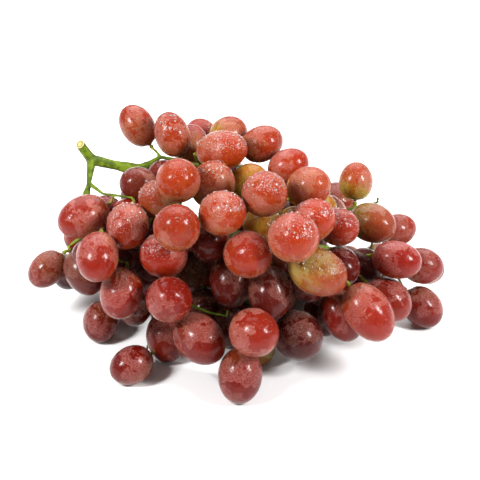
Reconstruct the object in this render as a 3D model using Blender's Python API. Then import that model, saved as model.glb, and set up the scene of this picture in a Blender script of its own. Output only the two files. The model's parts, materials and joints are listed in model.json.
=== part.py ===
"""A bunch of red table grapes lying on its side.

The stalk is one grown piece: a cut peduncle, two arms, the spine through the middle of the bunch and
a fine stalk to every berry. Each berry is an elongated ball. Berries of the show side are laid by
hand, then all of them are settled so that they rest against each other without cutting in. The back
and the underside are filled with more berries, pressed together in small clusters.

Units are millimetres in this file and metres in the finished meshes. +X runs along the bunch,
+Y points to its back and +Z is up. The bunch rests on the plane z = 0.
"""

import heapq
import math
import random

import bmesh
import bpy
import numpy as np
from mathutils import Matrix, Vector

# ------------------------------------------------------------------ driving sizes (millimetres)

BUNCH_LENGTH = 210.0        # end to end along X
BUNCH_RISE = 148.0          # top to bottom of the show side, measured up its slope
BERRY_WIDTH = 21.0          # a middling berry across its waist
BERRY_LENGTH = 25.0         # the same berry from stalk to tip
PEDUNCLE_THICKNESS = 4.8    # the cut stalk at the top of the bunch
PEDICEL_THICKNESS = 1.5     # the fine stalk of one berry
RECEPTACLE_WIDTH = 3.2      # the little button where the stalk meets the berry
RECEPTACLE_LENGTH = 2.4
FIT_GAP = 0.3               # clear space between neighbouring pieces
REST_SAG = 0.7              # how far a resting berry is flattened by the surface under it
CLUSTER_PRESS = 1.7         # how far two berries of one cluster are pressed together
CORE_HEIGHT = 50.0          # the middle of the bunch above the surface it lies on
SHOW_LEAN = 35.0            # degrees the show side leans back from upright

# The layout below was laid out for these sizes; changing a driving size stretches it.
LAID_LENGTH = 210.0
LAID_RISE = 148.0
LAID_BERRY_WIDTH = 21.0
LAID_BERRY_LENGTH = 25.0

SEED = 11

MM = 0.001                  # one millimetre in the metres of the finished meshes

# ------------------------------------------------------------------ mesh fineness

BERRY_SEGMENTS = 10
BERRY_RINGS = 7
CLUSTER_ICO_STEPS = 2
STALK_BEVEL = 1             # six-sided stalks
FINE_STALK_BEVEL = 0        # four-sided stalks to single berries

LEVEL_ANGLE = math.radians(6.0)  # neighbouring stalk faces closer than this are merged

# ------------------------------------------------------------------ the show-side frame

LEAN = math.radians(SHOW_LEAN)
ACROSS = np.array((1.0, 0.0, 0.0))
UP = np.array((0.0, math.sin(LEAN), math.cos(LEAN)))
OUT = np.array((0.0, -math.cos(LEAN), math.sin(LEAN)))
SHOW_FRAME = np.array((ACROSS, UP, OUT))
CORE = np.array((0.0, 0.0, CORE_HEIGHT))

STRETCH = np.array((BUNCH_LENGTH / LAID_LENGTH, BUNCH_RISE / LAID_RISE, BUNCH_RISE / LAID_RISE))
WIDTH_SCALE = BERRY_WIDTH / LAID_BERRY_WIDTH
LENGTH_SCALE = BERRY_LENGTH / LAID_BERRY_LENGTH


def laid(across, up, out):
    """A point given along, up and out of the show side, as a point in space."""
    return CORE + (np.array((across, up, out)) * STRETCH) @ SHOW_FRAME


def pointed(across, up, out):
    """A direction given in the show-side frame, as a unit vector in space."""
    direction = np.array((across, up, out), dtype=float) @ SHOW_FRAME
    return direction / np.linalg.norm(direction)


# ------------------------------------------------------------------ the laid berries
# Each row: place (across, up, out), length, width, aim of the tip (across, up, out), skin.
# The berries of the first five lists are single pieces. The half hidden ones behind them have no
# skin of their own, because they become part of the clusters.

LEFT_SHOULDER = [
    ((-52, 58, -24), 23.5, 17.5, (-0.55, 0.83, 0.00), "red"),
    ((-34, 53, -14), 23.5, 18.0, (-0.33, 0.94, 0.10), "rose"),
    ((-24, 48, -20), 22.5, 18.0, (0.10, 0.95, -0.20), "rose"),
    ((-7, 53, -26), 21.0, 19.0, (0.70, 0.60, -0.20), "amber"),
    ((-9, 44.5, 4), 27.5, 20.0, (0.85, 0.10, 0.50), "rose"),
    ((11, 48.5, -12), 22.5, 18.5, (0.85, 0.40, 0.10), "red"),
    ((24, 37, 0), 22.0, 17.5, (0.80, 0.40, 0.20), "red"),
    ((-30, 29, 24), 25.0, 22.0, (-0.10, 0.10, 1.00), "red"),
    ((-13.5, 27.5, 16), 26.0, 22.5, (0.25, 0.60, 0.70), "amber"),
    ((-42, 20, 12), 22.0, 19.0, (-0.60, 0.30, 0.60), "rose"),
]

LEFT_WING = [
    ((-77, 11.3, 12), 28.0, 21.0, (-0.78, -0.40, 0.40), "red"),
    ((-69, -7.8, 32), 26.5, 21.0, (-0.10, -0.85, 0.50), "red"),
    ((-54, 6.5, 24), 24.5, 21.0, (-0.20, -0.80, 0.50), "rose"),
    ((-96.5, -14.5, -10), 22.0, 17.0, (-0.72, -0.69, 0.00), "red"),
    ((-79, -16, -2), 25.0, 18.5, (0.50, -0.82, 0.10), "dark"),
    ((-58.5, -26, 20), 26.5, 21.5, (-0.20, -0.93, 0.25), "red"),
    ((-70, -40, -8), 21.5, 18.5, (-0.15, -0.95, 0.00), "red"),
    ((-53.5, -60.5, 17.5), 23.5, 19.0, (-0.80, -0.45, 0.42), "red"),
]

MIDDLE = [
    ((12, 22, 38), 25.5, 22.5, (0.20, 0.30, 0.90), "rose"),
    ((26, 1.3, 48), 28.5, 24.5, (0.45, 0.00, 0.90), "red"),
    ((36, 9.5, 32), 25.0, 21.0, (0.50, 0.30, 0.75), "rose"),
    ((34, 25, 18), 24.0, 21.0, (0.60, 0.35, 0.60), "amber"),
    ((-8.5, 13, 42), 26.0, 22.0, (0.60, 0.15, 0.75), "rose"),
    ((-31, 5.5, 42), 26.5, 23.0, (0.00, 0.30, 0.95), "red"),
    ((4, -7, 42), 27.0, 23.5, (0.40, -0.10, 0.90), "rose"),
    ((38, -15.5, 36), 31.0, 23.5, (0.86, -0.40, 0.30), "amber"),
    ((15, -26, 22), 28.0, 22.0, (0.00, -0.95, 0.30), "dark"),
    ((-5.5, -20, 20), 28.5, 21.0, (0.00, -0.95, 0.20), "dark"),
    ((-37, -6, 24), 26.0, 23.0, (-0.55, 0.00, 0.80), "rose"),
]

UNDERSIDE_FRONT = [
    ((-34.7, -28.8, 34), 26.0, 23.0, (0.05, 0.10, 1.00), "red"),
    ((-37, -47.5, 4), 26.0, 20.5, (0.05, -0.97, 0.10), "rose"),
    ((-20, -48.5, 28), 29.5, 23.5, (0.62, -0.62, 0.40), "red"),
    ((7, -45, 38), 27.0, 24.0, (0.40, -0.30, 0.85), "rose"),
    ((0, -66.5, 29.6), 28.0, 22.0, (-0.06, -0.99, 0.05), "red"),
    ((29, -47.5, 16), 27.5, 24.5, (0.30, -0.45, 0.80), "dark"),
]

RIGHT_WING = [
    ((66, 8, -2), 25.5, 20.0, (0.80, -0.30, 0.45), "amber"),
    ((77, -11, 4), 25.5, 19.0, (0.95, -0.15, 0.20), "red"),
    ((74, -28, 6), 26.0, 20.5, (0.75, -0.60, 0.25), "rose"),
    ((63, -35.5, 24), 32.0, 23.0, (0.56, -0.80, 0.10), "rose"),
    ((50, -37, 8), 28.0, 20.0, (0.40, -0.88, 0.10), "red"),
    ((48.5, 6, 20), 23.5, 19.0, (0.60, -0.10, 0.70), "rose"),
    ((58.5, 29.5, -14), 20.0, 17.5, (0.05, 1.00, 0.10), "amber"),
    ((91.5, -13, -14), 22.0, 18.5, (0.95, -0.20, 0.00), "red"),
    ((92.5, -33, -18), 23.5, 19.5, (0.68, -0.70, 0.00), "red"),
]

HALF_HIDDEN = [
    ((81, 6, -20), 20.5, 16.5, (0.90, 0.25, -0.20)),
    ((-23, -21, 14), 23.0, 18.5, (0.10, -0.70, 0.60)),
    ((-17, -5, 20), 24.0, 20.5, (0.00, -0.20, 0.95)),
    ((10.5, 9, 24), 23.0, 20.0, (0.00, -0.30, 0.95)),
    ((-78, -8, 12), 20.0, 16.5, (-0.80, 0.00, 0.60)),
    ((2, 29, 12), 23.0, 20.0, (0.40, 0.50, 0.60)),
    ((-41, 29, -8), 21.0, 19.0, (-0.60, 0.60, 0.10)),
    ((-46, 25.5, 0), 20.0, 18.0, (-0.80, 0.30, 0.20)),
    ((-52.5, 20.5, -12), 20.0, 17.5, (-0.85, 0.40, 0.00)),
    ((-57.5, 12.5, 4), 20.0, 17.5, (-0.70, 0.40, 0.50)),
    ((-68, 13.5, -6), 19.0, 17.0, (-0.30, 0.80, 0.00)),
    ((-80.5, 0.5, -12), 19.5, 17.5, (-0.90, 0.00, -0.20)),
    ((-87.5, -16, -26), 19.0, 17.0, (-0.20, -0.80, -0.30)),
    ((-55, -7, 4), 22.0, 18.5, (-0.40, -0.20, 0.50)),
    ((-51.5, -35, 2), 21.5, 17.5, (-0.10, -0.95, 0.10)),
    ((-45, -17.5, 4), 22.0, 19.0, (-0.50, -0.30, 0.40)),
    ((45, 19, 0), 20.0, 17.5, (0.60, 0.50, 0.10)),
    ((54.5, -8, 8), 23.0, 19.0, (0.40, -0.40, 0.60)),
    ((61, -13, -4), 20.0, 17.5, (0.50, -0.40, 0.30)),
    ((94.5, -14, -34), 20.0, 17.5, (0.95, -0.20, -0.10)),
    ((56, -23.5, 0), 20.0, 17.5, (0.30, -0.60, 0.20)),
    ((31.5, -23.5, 14), 22.0, 19.5, (0.20, -0.80, 0.40)),
    ((40, -39, 2), 23.0, 18.5, (0.30, -0.90, 0.10)),
    ((8, -54, 9), 20.0, 17.0, (0.30, -0.85, 0.10)),
    ((-18, -33, 6), 22.0, 19.0, (0.00, -0.80, 0.30)),
    ((-3, -42, 10), 22.0, 19.0, (0.00, -0.80, 0.30)),
    ((17, -14, 14), 22.0, 19.0, (0.30, -0.30, 0.60)),
    ((-20, 53, -36), 20.0, 17.5, (-0.30, 0.80, -0.40)),
    ((24, 14, 14), 21.0, 18.5, (0.40, 0.30, 0.60)),
]

# Lines of clear daylight through the bunch, across and up the show side, with their half width.
DAYLIGHT = [(-24.5, 19, 1.5), (-50.5, -10, 1.5), (14, 39, 4.0), (63, -1.5, 2.5), (66, -16, 1.5)]

# ------------------------------------------------------------------ the laid stalk
# Runs of points (across, up, out) in the show-side frame, with the thickness kept clear for them.
# Every run after the first starts on a point of an earlier one.

STALK_RUNS = [
    # peduncle, then the spine through the bunch
    ([(-81.5, 49.5, -11), (-78, 44.5, -14), (-75, 40.5, -16), (-68, 39, -18), (-60, 37, -19),
      (-51, 35.5, -20), (-45, 29, -22), (-38, 20, -20), (-28, 11, -14), (-14, 5, -9), (2, 2, -7),
      (18, 0, -7), (34, -3, -9), (50, -6, -12), (66, -9, -15), (80, -13, -18)], 4.2),
    # arm up to the left shoulder
    ([(-51, 35.5, -20), (-47.5, 38.5, -19), (-40, 42, -18), (-32.5, 41, -17), (-25, 38.5, -16),
      (-17, 37.5, -14), (-8, 37, -12), (2, 38, -10)], 2.8),
    # dark pedicel of the outermost shoulder berry
    ([(-40, 42, -18), (-43.5, 46.5, -20)], 1.5),
    # arm down into the left wing
    ([(-75, 40.5, -16), (-76, 35, -13), (-76, 28.5, -9), (-77, 22, -7), (-77, 14, -6),
      (-77, 6, -5), (-76, -2, -6)], 2.8),
    # dried stub beside it
    ([(-76, 28.5, -9), (-78.5, 26, -8), (-79.5, 21.5, -7)], 1.5),
    # fine twig across to the berries under the shoulder
    ([(-76, 28.5, -9), (-74, 26, -5), (-71, 23.4, 0), (-63.5, 22.5, 4), (-60, 23, 6),
      (-54, 21.5, 10)], 1.5),
    # twig up to the lone berry behind the right wing
    ([(50, -6, -12), (50, 5, -15), (51.5, 14, -16), (55.5, 17, -15)], 1.5),
    # bare stub standing up beside it
    ([(51.5, 14, -16), (60, 17, -18), (67.5, 18.5, -16), (69.5, 19, -15.5), (69.5, 21.5, -15)],
     1.5),
]

# Twigs that have lost their berry; the near end is grown on to the stalk.
BARE_TWIGS = [
    # low in the middle, with a little upturned tip
    ([(-27, -30, 14), (-22, -33.5, 17), (-15, -36, 19), (-6.5, -37.5, 21)], 1.5),
    ([(-6.5, -37.5, 21), (-6, -34.5, 21)], 2.0),
]

SINGLE_GROUPS = [LEFT_SHOULDER, LEFT_WING, MIDDLE, UNDERSIDE_FRONT, RIGHT_WING]

# ------------------------------------------------------------------ settling the berries

SETTLE_STEPS = 260
NORMAL_STEPS = 6
PUSH_SHARE = 0.55           # share of each overlap undone in one step
NEAR = 7.0                  # berries closer than this are watched
NEAR_STALK = 8.0            # stalk points closer than this to a berry are watched
LOOK_EVERY = 8              # steps between two looks at what is near
HOMESICK = 1.3              # the pull towards home fades out a little before the end
SPARE_GAP = 0.05            # extra gap aimed at, so that the last step still leaves the fit gap
STALK_PUSH = 0.5            # the laid stalk pushes berries this gently
TINY = 1e-6
STALK_END_REACH = 2.8       # kept free in front of the stalk end of every berry
STALK_END_ROOM = 1.6
SINGLE_YIELD = np.array((0.25, 0.25, 1.0))
HALF_HIDDEN_YIELD = np.array((0.6, 0.6, 1.2))
FILLER_YIELD = np.array((1.0, 1.0, 1.6))
SINGLE_SPRING = np.array((0.10, 0.10, 0.02))
HALF_HIDDEN_SPRING = np.array((0.05, 0.05, 0.01))
FILLER_SPRING = np.array((0.04, 0.04, 0.01))
NEAR_SURFACE = 2.5          # berries this close to the resting surface come to rest on it


def lengths(vectors):
    return np.linalg.norm(vectors, axis=-1)


class Berries:
    """All the berries, as ellipsoids of revolution that can be pushed about."""

    def __init__(self):
        self.centre = np.zeros((0, 3))
        self.axis = np.zeros((0, 3))
        self.half_length = np.zeros(0)
        self.half_width = np.zeros(0)
        self.home = np.zeros((0, 3))
        self.give = np.zeros((0, 3))
        self.spring = np.zeros((0, 3))
        self.skin = []
        self.single = []

    def add(self, centre, length, width, aim, skin, single, give, spring):
        self.centre = np.vstack((self.centre, centre))
        self.home = np.vstack((self.home, centre))
        self.axis = np.vstack((self.axis, aim))
        self.half_length = np.append(self.half_length, length * LENGTH_SCALE / 2)
        self.half_width = np.append(self.half_width, width * WIDTH_SCALE / 2)
        self.give = np.vstack((self.give, give))
        self.spring = np.vstack((self.spring, spring))
        self.skin.append(skin)
        self.single.append(single)

    def count(self):
        return len(self.skin)

    def reach(self, which, normal):
        """How far the chosen berries reach along a direction, and the point that reaches."""
        along = np.sum(normal * self.axis[which], axis=1, keepdims=True)
        wide = self.half_width[which][:, None] ** 2
        longer = self.half_length[which][:, None] ** 2 - wide
        reach = np.sqrt(wide + longer * along ** 2)
        return reach[:, 0], (wide * normal + longer * along * self.axis[which]) / reach

    def gaps(self, first, second):
        """The clear gap between pairs of berries and the direction from first to second."""
        offset = self.centre[second] - self.centre[first]
        distance = lengths(offset)[:, None]
        normal = offset / distance
        for _ in range(NORMAL_STEPS):
            point_a = self.reach(first, normal)[1]
            point_b = self.reach(second, normal)[1]
            between = offset - point_a - point_b
            slope = between - np.sum(between * normal, axis=1, keepdims=True) * normal
            normal = normal + slope / distance
            normal = normal / lengths(normal)[:, None]
        reach_a = self.reach(first, normal)[0]
        reach_b = self.reach(second, normal)[0]
        return np.sum(normal * offset, axis=1) - reach_a - reach_b, normal

    def height(self, which, points):
        """Distance of points from the surface of the chosen berries, and the way out."""
        offset = points - self.centre[which]
        axis = self.axis[which]
        along = np.sum(offset * axis, axis=-1, keepdims=True)
        off_axis = offset - along * axis
        half_length = self.half_length[which][..., None]
        half_width = self.half_width[which][..., None]
        level = np.sqrt((along / half_length) ** 2 + (lengths(off_axis)[..., None] / half_width) ** 2)
        slope = along / half_length ** 2 * axis + off_axis / half_width ** 2
        steep = np.maximum(lengths(slope)[..., None], TINY)
        return (level * (level - 1) / steep)[..., 0], slope / steep

    def lowest(self):
        """Height of every berry's lowest point above the resting surface."""
        everything = np.arange(self.count())
        down = np.tile((0.0, 0.0, -1.0), (self.count(), 1))
        return self.centre[:, 2] - self.reach(everything, down)[0]

    def stalk_end(self, stand_off):
        """The point this far in front of every berry's stalk end."""
        return self.centre - self.axis * (self.half_length[:, None] + stand_off)

    def outline(self, which):
        """The inverse shape matrix of a berry's outline seen from the show side."""
        axis = SHOW_FRAME[:2] @ self.axis[which]
        wide = self.half_width[which] ** 2
        longer = self.half_length[which] ** 2 - wide
        return np.linalg.inv(wide * np.eye(2) + longer * np.outer(axis, axis))


def yielded(give, normal):
    """A push along a direction, shaped by how easily the berry gives each way."""
    return (normal @ SHOW_FRAME.T * give) @ SHOW_FRAME


def settle(berries, bonds, rods, rests, steps=SETTLE_STEPS):
    """Push overlapping berries apart and draw bonded ones together.

    bonds holds pairs of berries pressed together, rods holds (point, thickness) along the laid
    stalk, and rests marks the berries that lie on the resting surface.
    """
    bonded = {tuple(sorted(pair)) for pair in bonds}
    rod_points = np.array([point for point, _ in rods])
    rod_room = np.array([room for _, room in rods]) + FIT_GAP
    worst = 0.0
    for step in range(steps):
        ease = max(0.0, 1.0 - HOMESICK * step / steps)
        pull = (berries.home - berries.centre) @ SHOW_FRAME.T * berries.spring
        berries.centre += ease * pull @ SHOW_FRAME
        if step % LOOK_EVERY == 0:
            spread = lengths(berries.centre[:, None] - berries.centre[None])
            close = spread < berries.half_length[:, None] + berries.half_length[None] + NEAR
            first, second = np.nonzero(np.triu(close, 1))
            tied = np.array([(a, b) in bonded for a, b in zip(first, second)])
            end_of, other = np.nonzero(close & ~np.eye(berries.count(), dtype=bool))
            rod_gap = lengths(rod_points[:, None] - berries.centre[None])
            rod, beside = np.nonzero(rod_gap < berries.half_length[None] + NEAR_STALK)
        shift = np.zeros_like(berries.centre)
        gap, normal = berries.gaps(first, second)
        short = np.where(tied, -CLUSTER_PRESS - gap, np.maximum(FIT_GAP + SPARE_GAP - gap, 0.0))
        push_a = yielded(berries.give[first], normal)
        push_b = yielded(berries.give[second], normal)
        stiff = np.sum((push_a + push_b) * normal, axis=1)
        share = (short / stiff)[:, None]
        np.add.at(shift, first, -share * push_a)
        np.add.at(shift, second, share * push_b)
        worst = np.abs(short).max()

        ends = berries.stalk_end(STALK_END_REACH)
        room, way = berries.height(other, ends[end_of])
        short = np.maximum(STALK_END_ROOM - room, 0.0)
        push_a = yielded(berries.give[end_of], way)
        push_b = yielded(berries.give[other], way)
        stiff = np.sum((push_a + push_b) * way, axis=1)
        share = (short / stiff)[:, None]
        np.add.at(shift, end_of, share * push_a)
        np.add.at(shift, other, -share * push_b)

        room, way = berries.height(beside, rod_points[rod])
        short = np.maximum(rod_room[rod] - room, 0.0)
        push = yielded(berries.give[beside], way)
        share = (short / np.sum(push * way, axis=1))[:, None]
        np.add.at(shift, beside, -share * push * STALK_PUSH)

        berries.centre += shift * PUSH_SHARE
        low = berries.lowest()
        lift = np.where(rests, -REST_SAG - low, np.maximum(-REST_SAG - low, 0.0))
        berries.centre[:, 2] += lift
    return worst


# ------------------------------------------------------------------ laying and filling

FILL_STEP = np.array((10.0, 9.5, 9.5))
FILL_FROM = np.array((-95.0, -64.0, -58.0))
FILL_TO = np.array((100.0, 52.0, 16.0))
FILL_JITTER = 2.5
FILL_CROWDING = 0.8904      # closest two berries may start, as a share of touching
FILL_INNER = 13.5           # clear of the spine
FILL_OUTER = 54.0           # the back never bulges further than this from the spine
FILL_MOST = 50
FILL_WIDTHS = (18.0, 21.0)
FILL_PLUMPNESS = (1.10, 1.22)
FILL_WAVER = 0.3            # how far a tip strays from pointing straight away from the spine
SPINE_START = 6             # the bunch's spine begins at this point of the first stalk run
RIM_POINTS = 12             # points round a berry that must be screened
RIM_SHARE = 0.92            # how much of its width must be screened
SCREEN_SHARE = 1.04         # how far a laid berry screens what is behind it


def spine_points():
    return np.array([laid(*point) for point in STALK_RUNS[0][0][SPINE_START:]])


def nearest_on_spine(point):
    """The closest point of the bunch's spine."""
    spine = spine_points()
    best = None
    for start, end in zip(spine[:-1], spine[1:]):
        run = end - start
        share = np.clip((point - start) @ run / (run @ run), 0.0, 1.0)
        close = start + share * run
        if best is None or lengths(point - close) < lengths(point - best):
            best = close
    return best


def behind_laid(berries, laid_count, points, margin):
    """Which points are hidden from the show side by one of the laid berries."""
    seen = (np.asarray(points) - CORE) @ SHOW_FRAME.T
    hidden = np.zeros(seen.shape[:-1], dtype=bool)
    for index in range(laid_count):
        place = (berries.centre[index] - CORE) @ SHOW_FRAME.T
        offset = seen[..., :2] - place[:2]
        level = np.einsum("...i,ij,...j->...", offset, berries.outline(index), offset)
        hidden |= (level < margin) & (seen[..., 2] < place[2])
    return hidden


def screened(berries, laid_count, point, radius):
    """True if a berry placed here cannot be seen past the laid ones from the show side."""
    turns = np.arange(RIM_POINTS) / RIM_POINTS * math.tau
    rim = np.outer(np.cos(turns), SHOW_FRAME[0]) + np.outer(np.sin(turns), SHOW_FRAME[1])
    rim = point + RIM_SHARE * radius * rim
    if not behind_laid(berries, laid_count, rim, SCREEN_SHARE).all():
        return False
    flat = SHOW_FRAME[:2] @ (point - CORE)
    for across, up, room in DAYLIGHT:
        clear = np.array((across, up)) * STRETCH[:2]
        if lengths(flat - clear) < radius + room:
            return False
    return True


def lay_berries():
    """The hand-laid berries, single ones first."""
    berries = Berries()
    for group in SINGLE_GROUPS:
        for place, length, width, aim, skin in group:
            berries.add(laid(*place), length, width, pointed(*aim), skin, True,
                        SINGLE_YIELD, SINGLE_SPRING)
    for place, length, width, aim in HALF_HIDDEN:
        berries.add(laid(*place), length, width, pointed(*aim), "mixed", False,
                    HALF_HIDDEN_YIELD, HALF_HIDDEN_SPRING)
    return berries


def fill_berries(berries):
    """Fill the back and the underside with berries that the laid ones screen."""
    dice = random.Random(SEED)
    steps = [np.arange(low, high, step)
             for low, high, step in zip(FILL_FROM, FILL_TO, FILL_STEP)]
    spots = []
    for k, out in enumerate(steps[2]):
        for j, up in enumerate(steps[1]):
            for across in steps[0]:
                stagger = FILL_STEP[0] / 2 if (j + k) % 2 else 0.0
                jitter = [dice.uniform(-FILL_JITTER, FILL_JITTER) for _ in range(3)]
                spot = laid(across + stagger + jitter[0], up + jitter[1], out + jitter[2])
                depth = lengths(spot - nearest_on_spine(spot))
                if FILL_INNER < depth < FILL_OUTER:
                    spots.append((depth, tuple(spot)))
    spots.sort(reverse=True)
    added = 0
    laid_count = berries.count()
    for depth, spot in spots:
        if added == FILL_MOST:
            break
        width = dice.uniform(*FILL_WIDTHS)
        length = width * dice.uniform(*FILL_PLUMPNESS)
        radius = width * WIDTH_SCALE / 2
        spot = np.array(spot)
        if spot[2] < radius - REST_SAG:
            continue
        touching = berries.half_width + radius
        if np.any(lengths(berries.centre - spot) < FILL_CROWDING * touching):
            continue
        if not screened(berries, laid_count, spot, radius):
            continue
        aim = spot - nearest_on_spine(spot)
        waver = [dice.uniform(-FILL_WAVER, FILL_WAVER) for _ in range(3)]
        aim = aim / lengths(aim) + np.array(waver)
        aim = aim / lengths(aim)
        berries.add(spot, length, width, aim, "mixed", False, FILLER_YIELD, FILLER_SPRING)
        added += 1
    return added


CLUSTER_COUNT = 15
CLUSTER_GRASP = 7.0         # widest gap that is still drawn together into a cluster


def cluster_berries(berries):
    """Sort the berries that are not single into pressed-together clusters."""
    loose = [index for index in range(berries.count()) if not berries.single[index]]
    size = math.ceil(len(loose) / CLUSTER_COUNT)
    first = np.array([a for i, a in enumerate(loose) for b in loose[i + 1:]])
    second = np.array([b for i, a in enumerate(loose) for b in loose[i + 1:]])
    gap = berries.gaps(first, second)[0]
    near = {index: {} for index in loose}
    for a, b, clear in zip(first, second, gap):
        if clear < CLUSTER_GRASP:
            near[a][b] = clear
            near[b][a] = clear
    left = set(loose)
    clusters = []
    bonds = []
    while left:
        seed = min(left, key=lambda index: (len(left & set(near[index])), index))
        cluster = [seed]
        left.remove(seed)
        while len(cluster) < size:
            reachable = [(clear, b, a) for a in cluster for b, clear in near[a].items()
                         if b in left]
            if not reachable:
                break
            _, found, partner = min(reachable)
            cluster.append(found)
            left.remove(found)
            bonds.append((partner, found))
        clusters.append(cluster)
    clusters.sort(key=len)
    stranded = []
    while len(clusters) + len(stranded) > CLUSTER_COUNT and len(clusters) > 1:
        small = clusters.pop(0)
        joins = [(near[a][b], a, b, cluster) for a in small for cluster in clusters
                 for b in cluster if b in near[a]]
        if joins:
            _, a, b, cluster = min(joins, key=lambda join: join[0])
            cluster.extend(small)
            bonds.append((a, b))
        else:
            stranded.append(small)
    for small in stranded:
        others = np.array([b for b in range(berries.count()) if b not in small])
        gap = berries.gaps(np.full(len(others), small[0]), others)[0]
        found = int(others[np.argmin(gap)])
        bonds.append((small[0], found))
        if berries.single[found]:
            berries.single[found] = False
            small.append(found)
            clusters.append(small)
        else:
            next(cluster for cluster in clusters + stranded if found in cluster).extend(small)
    return clusters, bonds


# ------------------------------------------------------------------ growing the stalk

GRID = 2.0                  # spacing of the points a stalk may pass through
PATH_ROOM = 0.85            # least room round a stalk's middle line
PATH_SHY = 1.2              # how much a path prefers roomy places
LEAST_ROOM = 0.3            # room counted where there is next to none
ROOM_MARGIN = 20.0          # the searched room reaches this far past the outer berries
OUTSIDE = 7.0               # stalks keep closer than this to some berry
LOWEST_STALK = 1.5
SHOWING_TOLL = 5.0          # stalks would rather not show between the berries
HIDDEN_SHARE = 0.85         # only this much of a berry's outline hides a stalk
START_TOLL = 1.5            # toll of the straight first step from a berry
ROD_STEP = 2.5              # spacing of the laid stalk's points that push berries away
LOYALTY = 0.45              # how much a stalk would rather join close to the spine
JOINT_STEP = 4.5            # forks of one stalk are no closer than this
START_TRIES = 40
START_CHOICES = 8
STALK_STEP = 4.0
SAP_POWER = 0.25            # thickness grows with this power of the berries carried
FORK_SWELL = 1.12
FINEST = 0.45               # smallest half thickness
TARGET_REACH = 5.0
STRAIGHT_MOST = 18.0        # longest straight piece of a routed stalk
SMOOTHINGS = 30
SMOOTH_SHARE = 0.6          # how far a point moves towards its neighbours each time
ROOMY = 2.2                 # with this much room a stalk may move as it likes
STRAY_MOST = 1.8            # how far a straightened stalk may leave its path
APPROACH = FIT_GAP + RECEPTACLE_LENGTH


def laid_rods():
    """Points along the laid stalk with the room each keeps clear of berries."""
    rods = []
    for run, thickness in STALK_RUNS + BARE_TWIGS:
        for point in finely(run, ROD_STEP):
            rods.append((point, thickness / 2))
    return rods


def finely(run, step):
    """A laid run as points in space no further apart than the step."""
    corners = [laid(*point) for point in run]
    points = [corners[0]]
    for start, end in zip(corners[:-1], corners[1:]):
        pieces = max(1, math.ceil(lengths(end - start) / step))
        points.extend(start + (end - start) * k / pieces for k in range(1, pieces + 1))
    return points


class Stalk:
    """The stalk as a tree of points, each knowing the point it grew from."""

    def __init__(self):
        self.point = []
        self.parent = []
        self.fixed = []
        self.berry = []
        self.away = []

    def grow(self, point, parent, fixed=False, berry=None, laid_down=False):
        from_spine = 0.0
        if not laid_down:
            from_spine = self.away[parent] + float(lengths(self.point[parent] - point))
        self.away.append(from_spine)
        self.point.append(np.array(point))
        self.parent.append(parent)
        self.fixed.append(fixed)
        self.berry.append(berry)
        return len(self.point) - 1

    def nearest(self, point):
        return int(np.argmin(lengths(np.array(self.point) - point)))

    def children(self):
        children = [[] for _ in self.point]
        for index, parent in enumerate(self.parent):
            if parent is not None:
                children[parent].append(index)
        return children


def lay_stalk():
    stalk = Stalk()
    for number, (run, _) in enumerate(STALK_RUNS):
        points = finely(run, STALK_STEP)
        if number == 0:
            last = stalk.grow(points[0], None, fixed=True, laid_down=True)
        else:
            last = stalk.nearest(points[0])
        for point in points[1:]:
            last = stalk.grow(point, last, fixed=True, laid_down=True)
    return stalk


def room_field(berries, corner, shape):
    """Clear distance to the nearest berry at every grid point."""
    field = np.full(shape, 2 * OUTSIDE)
    for index in range(berries.count()):
        span = berries.half_length[index] + OUTSIDE + 1
        low = np.maximum((berries.centre[index] - span - corner) // GRID, 0).astype(int)
        high = np.minimum((berries.centre[index] + span - corner) // GRID + 2, shape).astype(int)
        axes = [corner[k] + GRID * np.arange(low[k], high[k]) for k in range(3)]
        points = np.stack(np.meshgrid(*axes, indexing="ij"), axis=-1)
        height = berries.height(index, points)[0]
        block = field[low[0]:high[0], low[1]:high[1], low[2]:high[2]]
        np.minimum(block, height, out=block)
    return field


def room_at(berries, points, own=None):
    """Clear distance of points to the nearest berry, leaving out each point's own berry."""
    everything = np.arange(berries.count())
    height = berries.height(everything, np.asarray(points)[:, None, :])[0]
    if own is not None:
        for row, berry in enumerate(own):
            if berry is not None:
                height[row, berry] = 2 * OUTSIDE
    return height.min(axis=1)


def run_room(berries, start, end, own=None):
    """Least room along a straight piece."""
    pieces = max(2, math.ceil(lengths(end - start)))
    points = [start + (end - start) * k / pieces for k in range(pieces + 1)]
    return room_at(berries, points, [own] * len(points)).min()


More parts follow.
